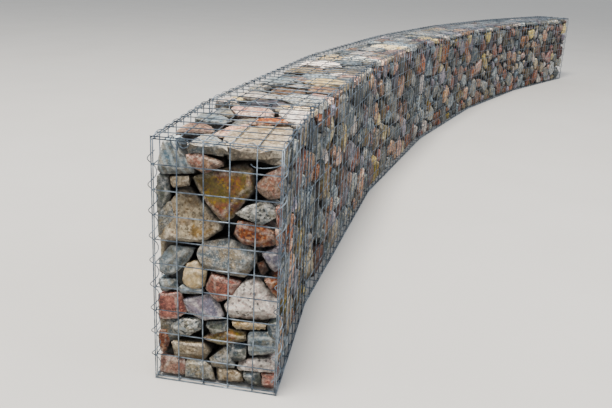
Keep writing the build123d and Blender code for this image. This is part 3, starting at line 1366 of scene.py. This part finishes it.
@dataclass
class BasketFill:
    """Packs stones against the faces of one basket, so that each fits its neighbours.

    Seeds are thrown at least a stone apart. Between each two seeds lies one leaning plane that both
    stones stop short of, so they bear on each other as laid stones do and never cut through.
    """

    bay: Bay
    rng: np.random.Generator
    cells: float
    open_end: bool = False
    start_at: float = 0.0
    lid_by_hand: bool = False
    side_drop: dict[Face, float] = field(default_factory=dict)
    mesh_face: float = 10 * MM
    edge_ease: float = 28 * MM
    slab_layer: float = 62 * MM
    under_slab: float = 0.55
    reach: float = 0.36
    least_room: float = 0.012
    least_face_room: float = 0.015
    # A stone stops at the basket's own planes that lie this near its seed
    wall_reach: tuple[float, float] = (0.004, 0.3)
    overshoot: float = 0.1
    most_under: float = 0.8
    size_spread: tuple[float, float] = (0.85, 1.15)
    slab_seat: tuple[float, float] = (0.36, 0.5)
    # How much flatter the planes between two stones lie than square to their line, and how far they lean
    bed_flatness: float = 5.0
    side_flatness: float = 1.1
    bed_lean: float = 3.0
    side_lean: float = 14.0
    face_lean: float = 6.0
    side_gap: tuple[float, float] = (1 * MM, 16 * MM)
    slab_gap: tuple[float, float] = (2 * MM, 17 * MM)
    # How far back the rim of a stone is broken, in millimetres, and at what angles
    least_rim: float = 4.0
    side_rim: float = 30.0
    slab_rim: float = 16.0
    rim_angles: tuple[float, float] = (28, 62)
    # A high power makes broad breaks rare, and a side that leans too far towards the eye has none
    rim_power: float = 2.2
    least_beside: float = 0.6
    least_rim_room: float = 0.01
    sharpness: tuple[float, float] = (14, 32)
    worn: tuple[float, float] = (0.06, 0.3)
    chips: tuple[int, int] = (4, 9)
    side_tone: float = 0.46
    slab_tone: float = 0.23
    tone_spread: float = 0.33
    side_slack: float = 10 * MM
    slab_slack: float = 26 * MM
    closeness: float = 0.86
    squatness: float = 1.08
    # Room around a seed as shares of half its stone's width: to a long edge of the wall, to the
    # ground, to the lid, to the mesh that it shows through, to a joint, and to its own back
    edge_room: float = 0.7
    foot_room: float = 0.6
    head_room: float = 0.3
    mesh_room: float = 0.85
    joint_room: float = 0.62
    back_room: float = 1.15
    # The grid of a stone of this half width has the given cells, and others have more or fewer
    usual_size: float = 95 * MM
    cell_range: tuple[int, int] = (5, 17)
    # Half the width of the stones, and how many are thrown for each metre of wall, the large ones first
    lid_throws: Pairs = ((0.13, 60), (0.105, 220), (0.082, 700), (0.06, 600))
    side_throws: Pairs = (
        (0.165, 60), (0.138, 260), (0.115, 500), (0.085, 800), (0.06, 500), (0.044, 400)
    )
    points: list[Array] = field(default_factory=list)
    sizes: list[float] = field(default_factory=list)
    faces: list[Face] = field(default_factory=list)

    def inside(self, s: float, t: float, room: float) -> bool:
        """True if a seed keeps its room from the basket's two ends."""
        start, end = self.bay.ends_at(t)
        return max(start, self.start_at) + room < s < end - room

    def stretched(self, points: Array) -> Array:
        """Points in the measure that makes stones wider than they are high."""
        return np.asarray(points) * np.array([1.0, 1.0, self.squatness])

    def throw(self, face: Face, size: float, tries: int) -> None:
        """Throws seeds of one size at a face and keeps those that find room.

        Args:
            face: Which face the stones lie against.
            size: Half the width of such a stone.
            tries: How many throws.
        """
        bay, rng = self.bay, self.rng
        top = bay.height - self.mesh_face
        under_lid = min(top - self.slab_layer, top - self.side_drop.get(face, 0.0))
        for _ in range(tries):
            own = size * rng.uniform(*self.size_spread)
            if face is Face.LID:
                t = rng.uniform(self.edge_room * own, bay.width - self.edge_room * own)
                z = top - rng.uniform(*self.slab_seat) * self.slab_layer
            else:
                z = rng.uniform(self.foot_room * own, under_lid - self.head_room * own)
                t = self.mesh_face + self.mesh_room * own
            s = rng.uniform(-self.overshoot, bay.length + self.overshoot)
            if face is Face.BACK:
                t = bay.width - t
            if face is Face.FAR_END:
                t = rng.uniform(self.edge_room * own, bay.width - self.edge_room * own)
                s = bay.ends_at(t)[1] - self.mesh_face - self.mesh_room * own
            if not self.inside(s, t, self.joint_room * own):
                continue
            point = np.array([s, t, z])
            if self.points:
                others = self.stretched(self.points) - self.stretched(point)
                room = self.closeness * (np.array(self.sizes) + own)
                if (np.linalg.norm(others, axis=1) < room).any():
                    continue
            self.points.append(point)
            self.sizes.append(own)
            self.faces.append(face)

    def seed(self) -> None:
        """Throws all seeds, those of the lid first."""
        sides = [Face.FRONT, Face.BACK]
        rounds = [] if self.lid_by_hand else [(self.lid_throws, [Face.LID])]
        rounds.append((self.side_throws, [Face.FAR_END, *sides] if self.open_end else sides))
        for throws, faces in rounds:
            for size, tries in throws:
                for face in faces:
                    self.throw(face, size, int(tries * self.bay.length))

    def walls(self) -> tuple[Array, Array]:
        """The basket's own planes, and those that ease its laced edges.

        Returns:
            Outward normals, and a point's product with each normal on its plane.
        """
        bay, face = self.bay, self.mesh_face
        start_side = unit(np.array([-1.0, bay.start_skew, 0.0]))
        end_side = unit(np.array([1.0, -bay.end_skew, 0.0]))
        sides = [
            (np.array([0.0, -1.0, 0.0]), -face),
            (np.array([0.0, 1.0, 0.0]), bay.width - face),
            (np.array([0.0, 0.0, -1.0]), -face),
            (np.array([0.0, 0.0, 1.0]), bay.height - face),
            (start_side, -face - self.start_at),
            (end_side, end_side[0] * bay.length - face),
        ]
        edges = [(first, second) for first in (0, 1) for second in range(2, 6)] + [(3, 4), (3, 5)]
        planes = list(sides)
        for first, second in edges:
            (normal_a, at_a), (normal_b, at_b) = sides[first], sides[second]
            length = np.linalg.norm(normal_a + normal_b)
            eased = (at_a + at_b - self.edge_ease + 1.2 * face) / length
            planes.append(((normal_a + normal_b) / length, eased))
        return np.array([normal for normal, _ in planes]), np.array([at for _, at in planes])

    def broken_rim(self, sides: list[Facet], face: Face, face_room: float) -> list[Facet]:
        """Slanting planes that break a stone's rim, so that dark joints lie between stones.

        Args:
            sides: The normals and offsets of the stone's sides.
            face: The face that the stone shows through.
            face_room: How far that face is from the stone's centre.

        Returns:
            The planes' normals and offsets.
        """
        rng, outward = self.rng, face.outward
        most = self.slab_rim if face is Face.LID else self.side_rim
        made = []
        for normal, own in sides:
            beside = normal - (normal @ outward) * outward
            length = np.linalg.norm(beside)
            if length < self.least_beside:
                continue
            back = (self.least_rim + most * rng.uniform() ** self.rim_power) * MM
            angle = math.radians(rng.uniform(*self.rim_angles))
            broken = math.cos(angle) * beside / length + math.sin(angle) * outward
            made.append((broken, own * math.cos(angle) + (face_room - back) * math.sin(angle)))
        return [(normal, own) for normal, own in made if own > self.least_rim_room]

    def joints(self) -> list[list[Facet]]:
        """Sets a plane between each two neighbours.

        Returns:
            For each stone, the planes that it stops at, as it sees them from its seed.
        """
        rng = self.rng
        points, sizes = np.array(self.points), np.array(self.sizes)
        is_slab = [face is Face.LID for face in self.faces]
        planes: list[list[Facet]] = [[] for _ in points]
        for i in range(len(points)):
            for j in range(i + 1, len(points)):
                away = points[j] - points[i]
                if np.linalg.norm(away) > self.reach:
                    continue
                bedded = is_slab[i] != is_slab[j]
                flat = self.bed_flatness if bedded else self.side_flatness
                lean = self.bed_lean if bedded else self.side_lean
                share = sizes[i] / (sizes[i] + sizes[j])
                if bedded:
                    under = self.under_slab * self.slab_layer / max(abs(away[2]), MM)
                    share = min(self.most_under, under)
                    share = share if is_slab[i] else 1 - share
                normal = unit(away * np.array([1.0, 1.0, flat * flat]))
                normal = normal @ turned(rng.normal(size=3), rng.normal(0, lean))
                least, most = self.slab_gap if is_slab[i] and is_slab[j] else self.side_gap
                gap = least + (most - least) * rng.uniform() ** 2
                middle = points[i] + share * away
                own = normal @ (middle - points[i]) - gap
                other = -normal @ (middle - points[j]) - gap
                if min(own, other) < self.least_room:
                    normal = unit(away)
                    own = share * np.linalg.norm(away) - gap
                    other = (1 - share) * np.linalg.norm(away) - gap
                planes[i].append((normal, own))
                planes[j].append((-normal, other))
        return planes

    def shapes(self, shares: dict[Face, dict[Rock, float]]) -> list[tuple[Face, StoneShape]]:
        """Works out each stone's flat faces from its neighbours and the basket.

        Args:
            shares: For each face, what share of its stones is of each rock.

        Returns:
            Each stone with its face.
        """
        rng = self.rng
        wall_normals, wall_places = self.walls()
        made = []
        for sides, point, size, face in zip(self.joints(), self.points, self.sizes, self.faces):
            is_slab, outward = face is Face.LID, face.outward
            room = wall_places - wall_normals @ point
            room[3] -= self.side_drop.get(face, 0.0)
            near = (room > self.wall_reach[0]) & (room < self.wall_reach[1])
            # The face that shows leans a little, and the one inside the wall is rough
            lean = turned(rng.normal(size=3), rng.normal(0, self.face_lean))
            behind = self.slab_layer if is_slab else self.back_room * size
            face_room = float(room[np.argmax(wall_normals[:6] @ outward)])
            face_room = max(self.least_face_room, face_room)
            facets = [*sides, (outward @ lean, face_room), (-outward, behind)]
            facets += self.broken_rim(sides, face, face_room)
            weights = np.array(list(shares[face].values()))
            rock = list(shares[face])[rng.choice(len(weights), p=weights / weights.sum())]
            stone = StoneShape(
                centre=point,
                normals=np.vstack([wall_normals[near], [normal for normal, _ in facets]]),
                offsets=np.append(room[near], [own for _, own in facets]),
                outward=outward,
                rock=rock,
                cells=int(np.clip(self.cells * size / self.usual_size, *self.cell_range)),
                sharpness=rng.uniform(*self.sharpness),
                worn=rng.uniform(*self.worn),
                chips=int(rng.integers(*self.chips)),
                tone=self.slab_tone if is_slab else self.side_tone,
                tone_spread=self.tone_spread,
                slack=self.slab_slack if is_slab else self.side_slack,
            )
            made.append((face, stone))
        return made


@dataclass(frozen=True)
class LaidStone:
    """A listed stone behind the near end's mesh.

    Its outline is in millimetres, from the end's left edge and down from its top.
    """

    rock: Rock
    outline: Pairs
    depth: float = 125.0
    set_back: float = 10.0
    lean: tuple[float, float] = (0.0, 0.0)
    sharpness: float = 15.0
    tone: float = 0.5


@dataclass(frozen=True)
class LaidSlab:
    """A listed flat stone under the first lid.

    Its outline is in millimetres, from the wall's left side and from its near end, and its top is
    that far below the lid's.
    """

    rock: Rock
    outline: Pairs
    top: float
    thickness: float
    tone: float = 0.18


END_STONES: tuple[LaidStone, ...] = (
    LaidStone(Rock.BANDED, ((46, 12), (78, 9), (126, 64), (172, 128), (18, 142)), lean=(0, -8), tone=0.7),
    LaidStone(Rock.PINK, ((134, 62), (186, 50), (272, 72), (276, 92), (205, 126), (152, 100))),
    LaidStone(Rock.OLIVE, ((150, 146), (228, 116), (355, 76), (390, 94), (392, 190), (325, 276), (276,
        302), (206, 226)), depth=150, lean=(4, -6), sharpness=20),
    LaidStone(Rock.PINK, ((394, 156), (436, 104), (496, 72), (508, 100), (500, 184), (450, 202)),
        lean=(-6, 4)),
    LaidStone(Rock.SPECKLED, ((322, 264), (366, 230), (436, 204), (480, 236), (486, 254), (425, 296))),
    LaidStone(Rock.RUST, ((308, 352), (326, 288), (440, 298), (470, 318), (476, 370), (440, 388), (336,
        374))),
    LaidStone(Rock.BUFF, ((108, 176), (140, 186), (276, 316), (270, 336), (196, 392), (14, 396), (4, 384),
        (4, 338)), depth=150, lean=(-4, -8), sharpness=22, tone=0.62),
    LaidStone(Rock.DARK, ((18, 148), (64, 148), (70, 226), (40, 298), (12, 310))),
    LaidStone(Rock.BUFF, ((72, 148), (146, 140), (150, 172), (84, 188)), depth=90, set_back=18),
    LaidStone(Rock.RED, ((480, 218), (508, 208), (510, 300), (488, 296)), depth=80),
    LaidStone(Rock.PINK, ((478, 306), (506, 306), (506, 372), (484, 372)), depth=80),
    LaidStone(Rock.BANDED, ((10, 486), (68, 418), (166, 420), (140, 476), (76, 540), (28, 550)),
        lean=(6, 0)),
    LaidStone(Rock.GREY, ((164, 448), (196, 390), (296, 366), (400, 402), (412, 440), (368, 514), (290,
        512), (210, 500)), depth=150, lean=(0, -6), tone=0.6),
    LaidStone(Rock.PURPLE, ((430, 408), (486, 380), (508, 388), (508, 462), (478, 484))),
    LaidStone(Rock.RUST, ((408, 452), (436, 440), (450, 478), (426, 500)), depth=80, set_back=30, tone=0.2),
    LaidStone(Rock.CREAM, ((114, 568), (134, 486), (170, 470), (214, 506), (204, 574), (168, 598)),
        lean=(0, 6)),
    LaidStone(Rock.BANDED, ((98, 588), (118, 574), (200, 584), (206, 600), (104, 606)), depth=100),
    LaidStone(Rock.RED, ((208, 580), (222, 512), (352, 534), (318, 600), (262, 628)), lean=(5, 5),
        tone=0.6),
    LaidStone(Rock.WHITE, ((280, 646), (370, 518), (408, 506), (446, 536), (506, 606), (500, 660), (450,
        682), (312, 690)), depth=145, lean=(0, -8), tone=0.74),
    LaidStone(Rock.RUST, ((440, 510), (500, 498), (508, 594), (486, 584)), set_back=22, tone=0.35),
    LaidStone(Rock.BANDED, ((16, 558), (90, 556), (96, 590), (32, 612)), depth=110),
    LaidStone(Rock.RED, ((12, 622), (108, 606), (136, 694), (70, 730), (14, 736)), tone=0.7),
    LaidStone(Rock.PURPLE, ((120, 634), (224, 602), (266, 640), (288, 692), (204, 708), (142, 684)),
        lean=(0, -10), tone=0.62),
    LaidStone(Rock.SPECKLED, ((66, 752), (116, 718), (186, 708), (196, 752), (144, 790), (82, 784)),
        tone=0.7),
    LaidStone(Rock.DARK, ((208, 722), (296, 706), (302, 738), (238, 764)), depth=100, set_back=16),
    LaidStone(Rock.BUFF, ((312, 700), (450, 694), (448, 716), (338, 724)), depth=110, tone=0.6),
    LaidStone(Rock.DARK, ((460, 692), (506, 682), (506, 752), (462, 748)), depth=100, set_back=14),
    LaidStone(Rock.OLIVE, ((198, 790), (284, 738), (372, 746), (374, 782), (286, 812))),
    LaidStone(Rock.RUST, ((12, 782), (54, 764), (60, 820), (40, 882), (16, 880)), tone=0.4),
    LaidStone(Rock.BUFF, ((68, 822), (206, 816), (240, 842), (204, 888), (86, 892)), tone=0.4),
    LaidStone(Rock.DARK, ((300, 802), (376, 796), (372, 856), (334, 878), (306, 862))),
    LaidStone(Rock.BANDED, ((382, 738), (492, 726), (506, 812), (390, 840)), sharpness=24),
    LaidStone(Rock.WHITE, ((348, 872), (424, 848), (508, 842), (506, 904), (338, 912)), tone=0.45),
    LaidStone(Rock.GREY, ((224, 880), (290, 816), (330, 884), (326, 906), (240, 910))),
    LaidStone(Rock.PINK, ((14, 892), (120, 900), (138, 948), (110, 988), (12, 986))),
    LaidStone(Rock.GREY, ((132, 902), (214, 896), (236, 920), (250, 984), (128, 988))),
    LaidStone(Rock.BUFF, ((248, 918), (356, 920), (366, 986), (260, 988)), tone=0.4),
    LaidStone(Rock.DARK, ((366, 920), (430, 914), (440, 986), (374, 988))),
    LaidStone(Rock.RED, ((442, 914), (508, 912), (506, 986), (450, 988))),
    LaidStone(Rock.GREY, ((12, 290), (70, 230), (90, 300), (40, 390), (12, 400)), set_back=42, tone=0.42),
    LaidStone(Rock.BUFF, ((12, 392), (110, 380), (130, 440), (60, 500), (12, 500)), set_back=46, tone=0.42),
    LaidStone(Rock.DARK, ((60, 520), (130, 500), (130, 600), (60, 600)), set_back=50, tone=0.5),
    LaidStone(Rock.GREY, ((12, 730), (90, 700), (110, 800), (50, 840), (12, 820)), set_back=44, tone=0.42),
    LaidStone(Rock.DARK, ((12, 866), (80, 850), (100, 920), (12, 930)), set_back=46, tone=0.5),
)

LAID_SLABS: tuple[LaidSlab, ...] = (
    LaidSlab(Rock.GREY, ((134, 14), (296, 12), (240, 120), (196, 200), (150, 190)), 20, 38, tone=0.11),
    LaidSlab(Rock.BUFF, ((303, 10), (492, 10), (488, 220), (460, 432), (316, 384), (244, 256), (240, 134)),
        12, 60, tone=0.17),
    LaidSlab(Rock.PINK, ((176, 214), (226, 216), (300, 372), (300, 420), (258, 452), (206, 381)), 22, 44,
        tone=0.32),
    LaidSlab(Rock.PINK, ((12, 290), (76, 292), (162, 302), (150, 366), (84, 460), (12, 462)), 34, 48,
        tone=0.09),
    LaidSlab(Rock.BANDED, ((20, 524), (91, 466), (166, 464), (184, 527), (92, 645), (13, 622)), 28, 52),
    LaidSlab(Rock.GREY, ((184, 488), (222, 478), (292, 570), (286, 648), (190, 590)), 36, 44, tone=0.29),
    LaidSlab(Rock.RUST, ((262, 462), (310, 456), (428, 524), (420, 566), (373, 622), (280, 560)), 18, 44,
        tone=0.27),
    LaidSlab(Rock.WHITE, ((366, 660), (460, 470), (490, 462), (490, 790), (400, 790), (350, 770)), 14, 54),
    LaidSlab(Rock.PINK, ((132, 784), (128, 736), (190, 604), (340, 652), (336, 703), (300, 788)), 17, 46,
        tone=0.27),
    LaidSlab(Rock.GREY, ((66, 652), (116, 636), (172, 620), (150, 700), (116, 788), (60, 786)), 30, 50),
    LaidSlab(Rock.DARK, ((12, 640), (62, 650), (58, 788), (12, 788)), 62, 50),
    LaidSlab(Rock.DARK, ((12, 160), (168, 210), (150, 296), (12, 284)), 84, 50, tone=0.0),
    LaidSlab(Rock.DARK, ((296, 640), (400, 570), (424, 580), (340, 700)), 56, 40),
    LaidSlab(Rock.GREY, ((136, 176), (246, 196), (262, 300), (168, 312), (140, 260)), 68, 50),
    LaidSlab(Rock.RED, ((148, 306), (214, 372), (268, 462), (190, 486), (146, 420)), 72, 50),
    LaidSlab(Rock.BUFF, ((270, 400), (330, 396), (480, 440), (470, 470), (300, 470)), 74, 50),
)


@dataclass
class HandLaid:
    """The stones of the near end and the first lid, which show best, laid one by one."""

    heap: StoneHeap
    eye: Vector
    # The grid of an end stone of the usual width has this many cells, and others have more or fewer
    end_cells: int = 17
    usual_width: float = 150 * MM
    cell_range: tuple[int, int] = (9, 20)
    slab_cells: int = 13
    grown: float = 1.5 * MM
    side_lean: float = 5.0
    lean_spread: tuple[float, float] = (0.2, 1.8)
    least_reach: float = 0.006
    margin: float = 8 * MM
    # A stone set back this many millimetres bears on the mesh, apart from the least slack
    foremost: float = 10.0
    least_slack: float = 3 * MM
    # How far behind the mesh the rims of the end's stones lie, how far back rims are broken off, and
    # at what angles
    rim_depth: float = 26 * MM
    end_rim: tuple[float, float] = (4 * MM, 21 * MM)
    slab_rim: tuple[float, float] = (3 * MM, 12 * MM)
    rim_angles: tuple[float, float] = (32, 66)
    # Each of these stones has a tone of its own, so chance adds little
    tone_spread: float = 0.04
    warmth: tuple[float, float] = (0.1, 0.5)

    def middle(self, outline: Array) -> Array:
        """Finds an outline's centroid.

        Args:
            outline: Its corners.

        Returns:
            The centroid.
        """
        following = np.roll(outline, -1, axis=0)
        crossed = outline[:, 0] * following[:, 1] - following[:, 0] * outline[:, 1]
        return ((outline + following) * crossed[:, None]).sum(axis=0) / (3 * crossed.sum())

    def prism(
        self, outline: Array, low: float, high: float, shown: Array, rim: tuple[float, float]
    ) -> tuple[Array, Array, Array]:
        """The flat faces of a stone with a given outline.

        Args:
            outline: Its corners in the plane that shows.
            low: Where it starts along the axis that it shows along.
            high: Where it ends along that axis.
            shown: The outward direction of the side that shows, along a local axis.
            rim: How far back its rim is broken off, at least and at most.

        Returns:
            Its centre, and the normals and offsets of its faces, of which the last shows.
        """
        rng = self.heap.rng
        axis = int(np.abs(shown).argmax())
        others = [k for k in range(3) if k != axis]
        centre = np.zeros(3)
        centre[others] = self.middle(outline)
        centre[axis] = (low + high) / 2
        half = (high - low) / 2
        normals, offsets = [], []
        for corner, after in zip(outline, np.roll(outline, -1, axis=0)):
            side = unit(np.array([after[1] - corner[1], corner[0] - after[0]]))
            room = side @ (corner - centre[others])
            if room < 0:
                side, room = -side, -room
            back = rng.uniform(*rim)
            # The side narrows away from the eye, and the rim before it is broken at an angle
            narrowing = math.radians(-self.side_lean * rng.uniform(*self.lean_spread))
            breaking = math.radians(rng.uniform(*self.rim_angles))
            for angle in (narrowing, breaking):
                normal = np.zeros(3)
                normal[others] = side * math.cos(angle)
                normal[axis] = shown[axis] * math.sin(angle)
                normals.append(normal)
                reach = (room + self.grown) * math.cos(angle) + (half - back) * math.sin(angle)
                offsets.append(max(self.least_reach, reach))
        return centre, np.array([*normals, -shown, shown]), np.array([*offsets, half, half])

    def lay(self, stone: LaidStone | LaidSlab) -> None:
        """Lays one stone behind the near end's mesh or under the first lid."""
        self.heap.add(self.slab(stone) if isinstance(stone, LaidSlab) else self.end_stone(stone))

    def end_stone(self, stone: LaidStone) -> StoneShape:
        """Works out a stone behind the near end's mesh.

        Args:
            stone: Its outline, rock and lean.

        Returns:
            What shapes it.
        """
        bay = self.heap.bay
        size = np.array([bay.width, bay.height])
        outline = size - np.array(stone.outline, float) * MM
        # The outlines are as the mesh frames them, and the rims lie a little behind it
        seen_from = self.eye - bay.corner
        beside = np.array([seen_from @ bay.across, seen_from.z])
        outline += (outline - beside) * (self.rim_depth / -(seen_from @ bay.along))
        outline = np.clip(outline, self.margin, size - self.margin)
        wide = math.sqrt(np.prod(np.ptp(outline, axis=0)))
        low, high = stone.set_back * MM, (stone.set_back + stone.depth) * MM
        shown = Face.NEAR_END.outward
        centre, normals, offsets = self.prism(outline, low, high, shown, self.end_rim)
        centre[0] += centre[1] * bay.start_skew
        turn = math.degrees(math.atan(bay.start_skew))
        normals[-1] = normals[-1] @ (
            turned((0, 0, 1), stone.lean[0] + turn) @ turned((0, 1, 0), stone.lean[1])
        )
        return StoneShape(
            centre=centre,
            normals=normals,
            offsets=offsets,
            outward=shown,
            rock=stone.rock,
            cells=int(np.clip(self.end_cells * wide / self.usual_width, *self.cell_range)),
            sharpness=stone.sharpness,
            worn=0.3,
            chips=5,
            chip_depth=(0.88, 0.98),
            tone=stone.tone,
            tone_spread=self.tone_spread,
            warmth=self.warmth,
            slack=max(0.0, stone.set_back - self.foremost) * MM + self.least_slack,
        )

    def slab(self, slab: LaidSlab) -> StoneShape:
        """Works out a flat stone under the first lid.

        Args:
            slab: Its outline, rock, height and thickness.

        Returns:
            What shapes it.
        """
        bay = self.heap.bay
        outline = np.array(slab.outline, float) * MM
        outline = np.c_[outline[:, 1], bay.width - outline[:, 0]]
        high = bay.height - slab.top * MM
        low, shown = high - slab.thickness * MM, Face.LID.outward
        centre, normals, offsets = self.prism(outline, low, high, shown, self.slab_rim)
        return StoneShape(
            centre=centre,
            normals=normals,
            offsets=offsets,
            outward=shown,
            rock=slab.rock,
            cells=self.slab_cells,
            sharpness=22,
            worn=0.25,
            chips=4,
            chip_depth=(0.9, 0.98),
            lumps=0.012,
            tone=slab.tone,
            tone_spread=self.tone_spread,
            warmth=self.warmth,
            bears=False,
        )


@dataclass
class RubbleCore:
    """The stones that only show as darkness between the outer ones, as one lumpy body for each basket."""

    bay: Bay
    start: float = 0.03
    end: float = 0.03
    top: float = 0.078
    side: float = 0.125
    foot: float = 0.03
    cell: float = 0.05
    lump: float = 0.02
    lump_size: float = 0.07
    lump_step: float = 3.1

    def mesh(self, name: str, material: bpy.types.Material) -> bpy.types.Mesh:
        """Builds the body.

        Args:
            name: The mesh's name.
            material: Its one material.

        Returns:
            A closed mesh.
        """
        bay = self.bay
        length = bay.length - self.start - self.end
        widths = np.array([length, bay.width - 2 * self.side, bay.height - self.top - self.foot])
        counts = np.maximum(2, np.round(widths / self.cell)).astype(int)
        corners, squares = block_grid(counts)
        share = corners / counts
        t = self.side + share[:, 1] * widths[1]
        s = self.start + share[:, 0] * widths[0]
        s = s + t * (bay.start_skew + (bay.end_skew - bay.start_skew) * share[:, 0])
        local = np.c_[s, t, self.foot + share[:, 2] * widths[2]]
        # Each basket has lumps of its own, from a seed, so that each run gives the same ones
        noise.seed_set(bay.number)
        places = (local / self.lump_size + self.lump_step * bay.number).tolist()
        local = local + self.lump * np.array([noise.noise_vector(place) for place in places])
        mesh = bpy.data.meshes.new(name)
        mesh.from_pydata(bay.to_frame(local).tolist(), [], squares.tolist())
        mesh.materials.append(material)
        return mesh


@dataclass
class Fill:
    """All stones of the wall, one piece for each face of each basket."""

    plan: WallPlan
    rocks: dict[Rock, bpy.types.Material]
    rubble: bpy.types.Material
    eye: Vector
    slot: str = "granite_fill"
    # Cells along a stone's grid: the baskets nearest the eye get the finest
    cells_by_bay: tuple[float, ...] = (13, 10, 8, 7, 6.5, 6.5)
    # Room for the listed stones, behind the near end's mesh and under the first lid
    end_depth: float = 0.125
    lid_depth: float = 0.15
    front_drop: float = 66 * MM
    back_drop: float = 135 * MM

    def near_end(self) -> None:
        """Lays the stones of the near end and of the first lid."""
        bay = self.plan.bays()[0]
        for name, seed, stones in (("near_end_stones", 11, END_STONES), ("lid_stones_1", 12, LAID_SLABS)):
            heap = StoneHeap(bay, np.random.default_rng(seed), open_start=True)
            by_hand = HandLaid(heap, self.eye)
            for stone in stones:
                by_hand.lay(stone)
            finish_piece(name, heap.mesh(name, self.rocks), ["stone_fill_1"])

    def baskets(self) -> None:
        """Packs the rest of every basket."""
        shares = {face: LID_SHARES if face is Face.LID else SIDE_SHARES for face in Face}
        for bay, cells in zip(self.plan.bays(), self.cells_by_bay):
            rng = np.random.default_rng(100 + bay.number)
            node = [f"stone_fill_{bay.number}"]
            core = RubbleCore(bay)
            fill = BasketFill(bay, rng, cells)
            first, last = bay.number == 1, bay.number == self.plan.bay_count
            if first:
                fill.start_at, fill.lid_by_hand = self.end_depth, True
                fill.side_drop = {Face.FRONT: self.front_drop, Face.BACK: self.back_drop}
                core.start, core.top = self.end_depth, self.lid_depth
            if last:
                fill.open_end, core.end = True, self.end_depth
            fill.seed()
            heaps: dict[Face, StoneHeap] = {}
            for face, stone in fill.shapes(shares):
                if face not in heaps:
                    heaps[face] = StoneHeap(bay, rng, open_start=first, open_end=last)
                heaps[face].add(stone)
            for face, heap in heaps.items():
                label = face.name.lower()
                name = f"{label}_stones" if face is Face.FAR_END else f"{label}_stones_{bay.number}"
                log.info("%s has %d stones", name, len(heap.vertices))
                finish_piece(name, heap.mesh(name, self.rocks), node)
            name = f"inner_rubble_{bay.number}"
            finish_piece(name, core.mesh(name, self.rubble), node)


@dataclass(frozen=True)
class Lamp:
    """A square soft lamp: where it hangs, its side in metres, its watts and its colour."""

    name: str
    place: tuple[float, float, float]
    size: float
    power: float
    colour: str

    def hang(self, aim: Vector) -> None:
        """Hangs the lamp.

        Args:
            aim: What it points at.
        """
        light = bpy.data.lights.new(self.name, "AREA")
        light.size, light.energy, light.color = self.size, self.power, linear(self.colour)[:3]
        lamp = bpy.data.objects.new(self.name, light)
        lamp.location = self.place
        lamp.rotation_euler = (aim - Vector(self.place)).to_track_quat("-Z", "Y").to_euler()
        bpy.context.scene.collection.objects.link(lamp)


@dataclass(frozen=True)
class Studio:
    """The floor, the light and the camera, which looks from the photograph's own viewpoint."""

    floor_size: float = 600.0
    sky: str = "#e9edf2"
    sky_strength: float = 0.75
    aim: tuple[float, float, float] = (0, 0, 0.5)
    lamps: tuple[Lamp, ...] = (
        Lamp("key", (-2.5, -6.8, 13), 4.0, 3500.0, "#fff8ee"),
        Lamp("fill", (9, -5, 9), 6.0, 440.0, "#eef3ff"),
    )
    # The photograph's angles in degrees, and its focal length in pixels
    camera_place: tuple[float, float, float] = (-0.4884, -7.6308, 1.598)
    yaw: float = -10.14
    pitch: float = 17.77
    roll: float = 2.68
    focal_pixels: float = 760.6
    frame_width: int = 612
    sensor: float = 36.0
    # Zoomed out and moved a little, so that the whole near end is in the picture
    zoom: float = 0.93
    drop_pixels: float = 9.0

    def floor(self) -> None:
        """Lays a plain pale floor at the wall's foot."""
        half = self.floor_size / 2
        mesh = bpy.data.meshes.new("floor")
        corners = [(-half, -half, 0), (half, -half, 0), (half, half, 0), (-half, half, 0)]
        mesh.from_pydata(corners, [], [(0, 1, 2, 3)])
        mesh.materials.append(FloorFinish().material())
        plane = bpy.data.objects.new("floor", mesh)
        bpy.context.scene.collection.objects.link(plane)

    def lights(self) -> None:
        """Sets a pale sky and two large soft lamps."""
        world = bpy.data.worlds.new("studio_sky")
        world.use_nodes = True
        world.node_tree.nodes.clear()
        glow = {"Color": linear(self.sky), "Strength": self.sky_strength}
        sky = add(world.node_tree, "Background", glow)
        add(world.node_tree, "OutputWorld", {"Surface": sky})
        bpy.context.scene.world = world
        for lamp in self.lamps:
            lamp.hang(Vector(self.aim))

    def camera(self) -> None:
        """Sets the camera by the photograph's own angles."""
        yaw, pitch, roll = (math.radians(angle) for angle in (self.yaw, self.pitch, self.roll))
        forward = Vector(
            (math.sin(yaw) * math.cos(pitch), math.cos(yaw) * math.cos(pitch), -math.sin(pitch))
        )
        level = Vector((math.cos(yaw), -math.sin(yaw), 0))
        over = level.cross(forward)
        right = math.cos(roll) * level + math.sin(roll) * over
        up = -math.sin(roll) * level + math.cos(roll) * over
        lens = bpy.data.cameras.new("camera")
        lens.sensor_width = self.sensor
        lens.lens = self.focal_pixels * self.zoom / self.frame_width * self.sensor
        lens.shift_y = -self.drop_pixels / self.frame_width
        lens.clip_end = self.floor_size
        camera = bpy.data.objects.new("camera", lens)
        turn = Matrix([(right[k], up[k], -forward[k]) for k in range(3)])
        camera.matrix_world = Matrix.Translation(self.camera_place) @ turn.to_4x4()
        bpy.context.scene.collection.objects.link(camera)
        bpy.context.scene.camera = camera


def main() -> None:
    """Builds the wall's looks around its frame, and the studio it stands in."""
    logging.basicConfig(level=logging.INFO, format="%(message)s")
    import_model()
    plan = WallPlan()
    studio = Studio()
    studio.floor()
    studio.lights()
    studio.camera()
    zinc = ZincFinish().material()
    rocks = {finish.rock: finish.material() for finish in FINISHES}
    rubble = RubbleFinish().material()
    mesh_work = MeshWork(plan, zinc, np.random.default_rng(5))
    mesh_work.sheets()
    mesh_work.cross_sheets()
    mesh_work.upright_coils()
    mesh_work.end_coils()
    mesh_work.top_coils()
    ties = TieWires(plan.bays()[0])
    mesh_work.piece("tie_wires", ties.paths(), ties.wire)
    fill = Fill(plan, rocks, rubble, Vector(studio.camera_place))
    fill.near_end()
    fill.baskets()


if __name__ == "__main__":
    main()
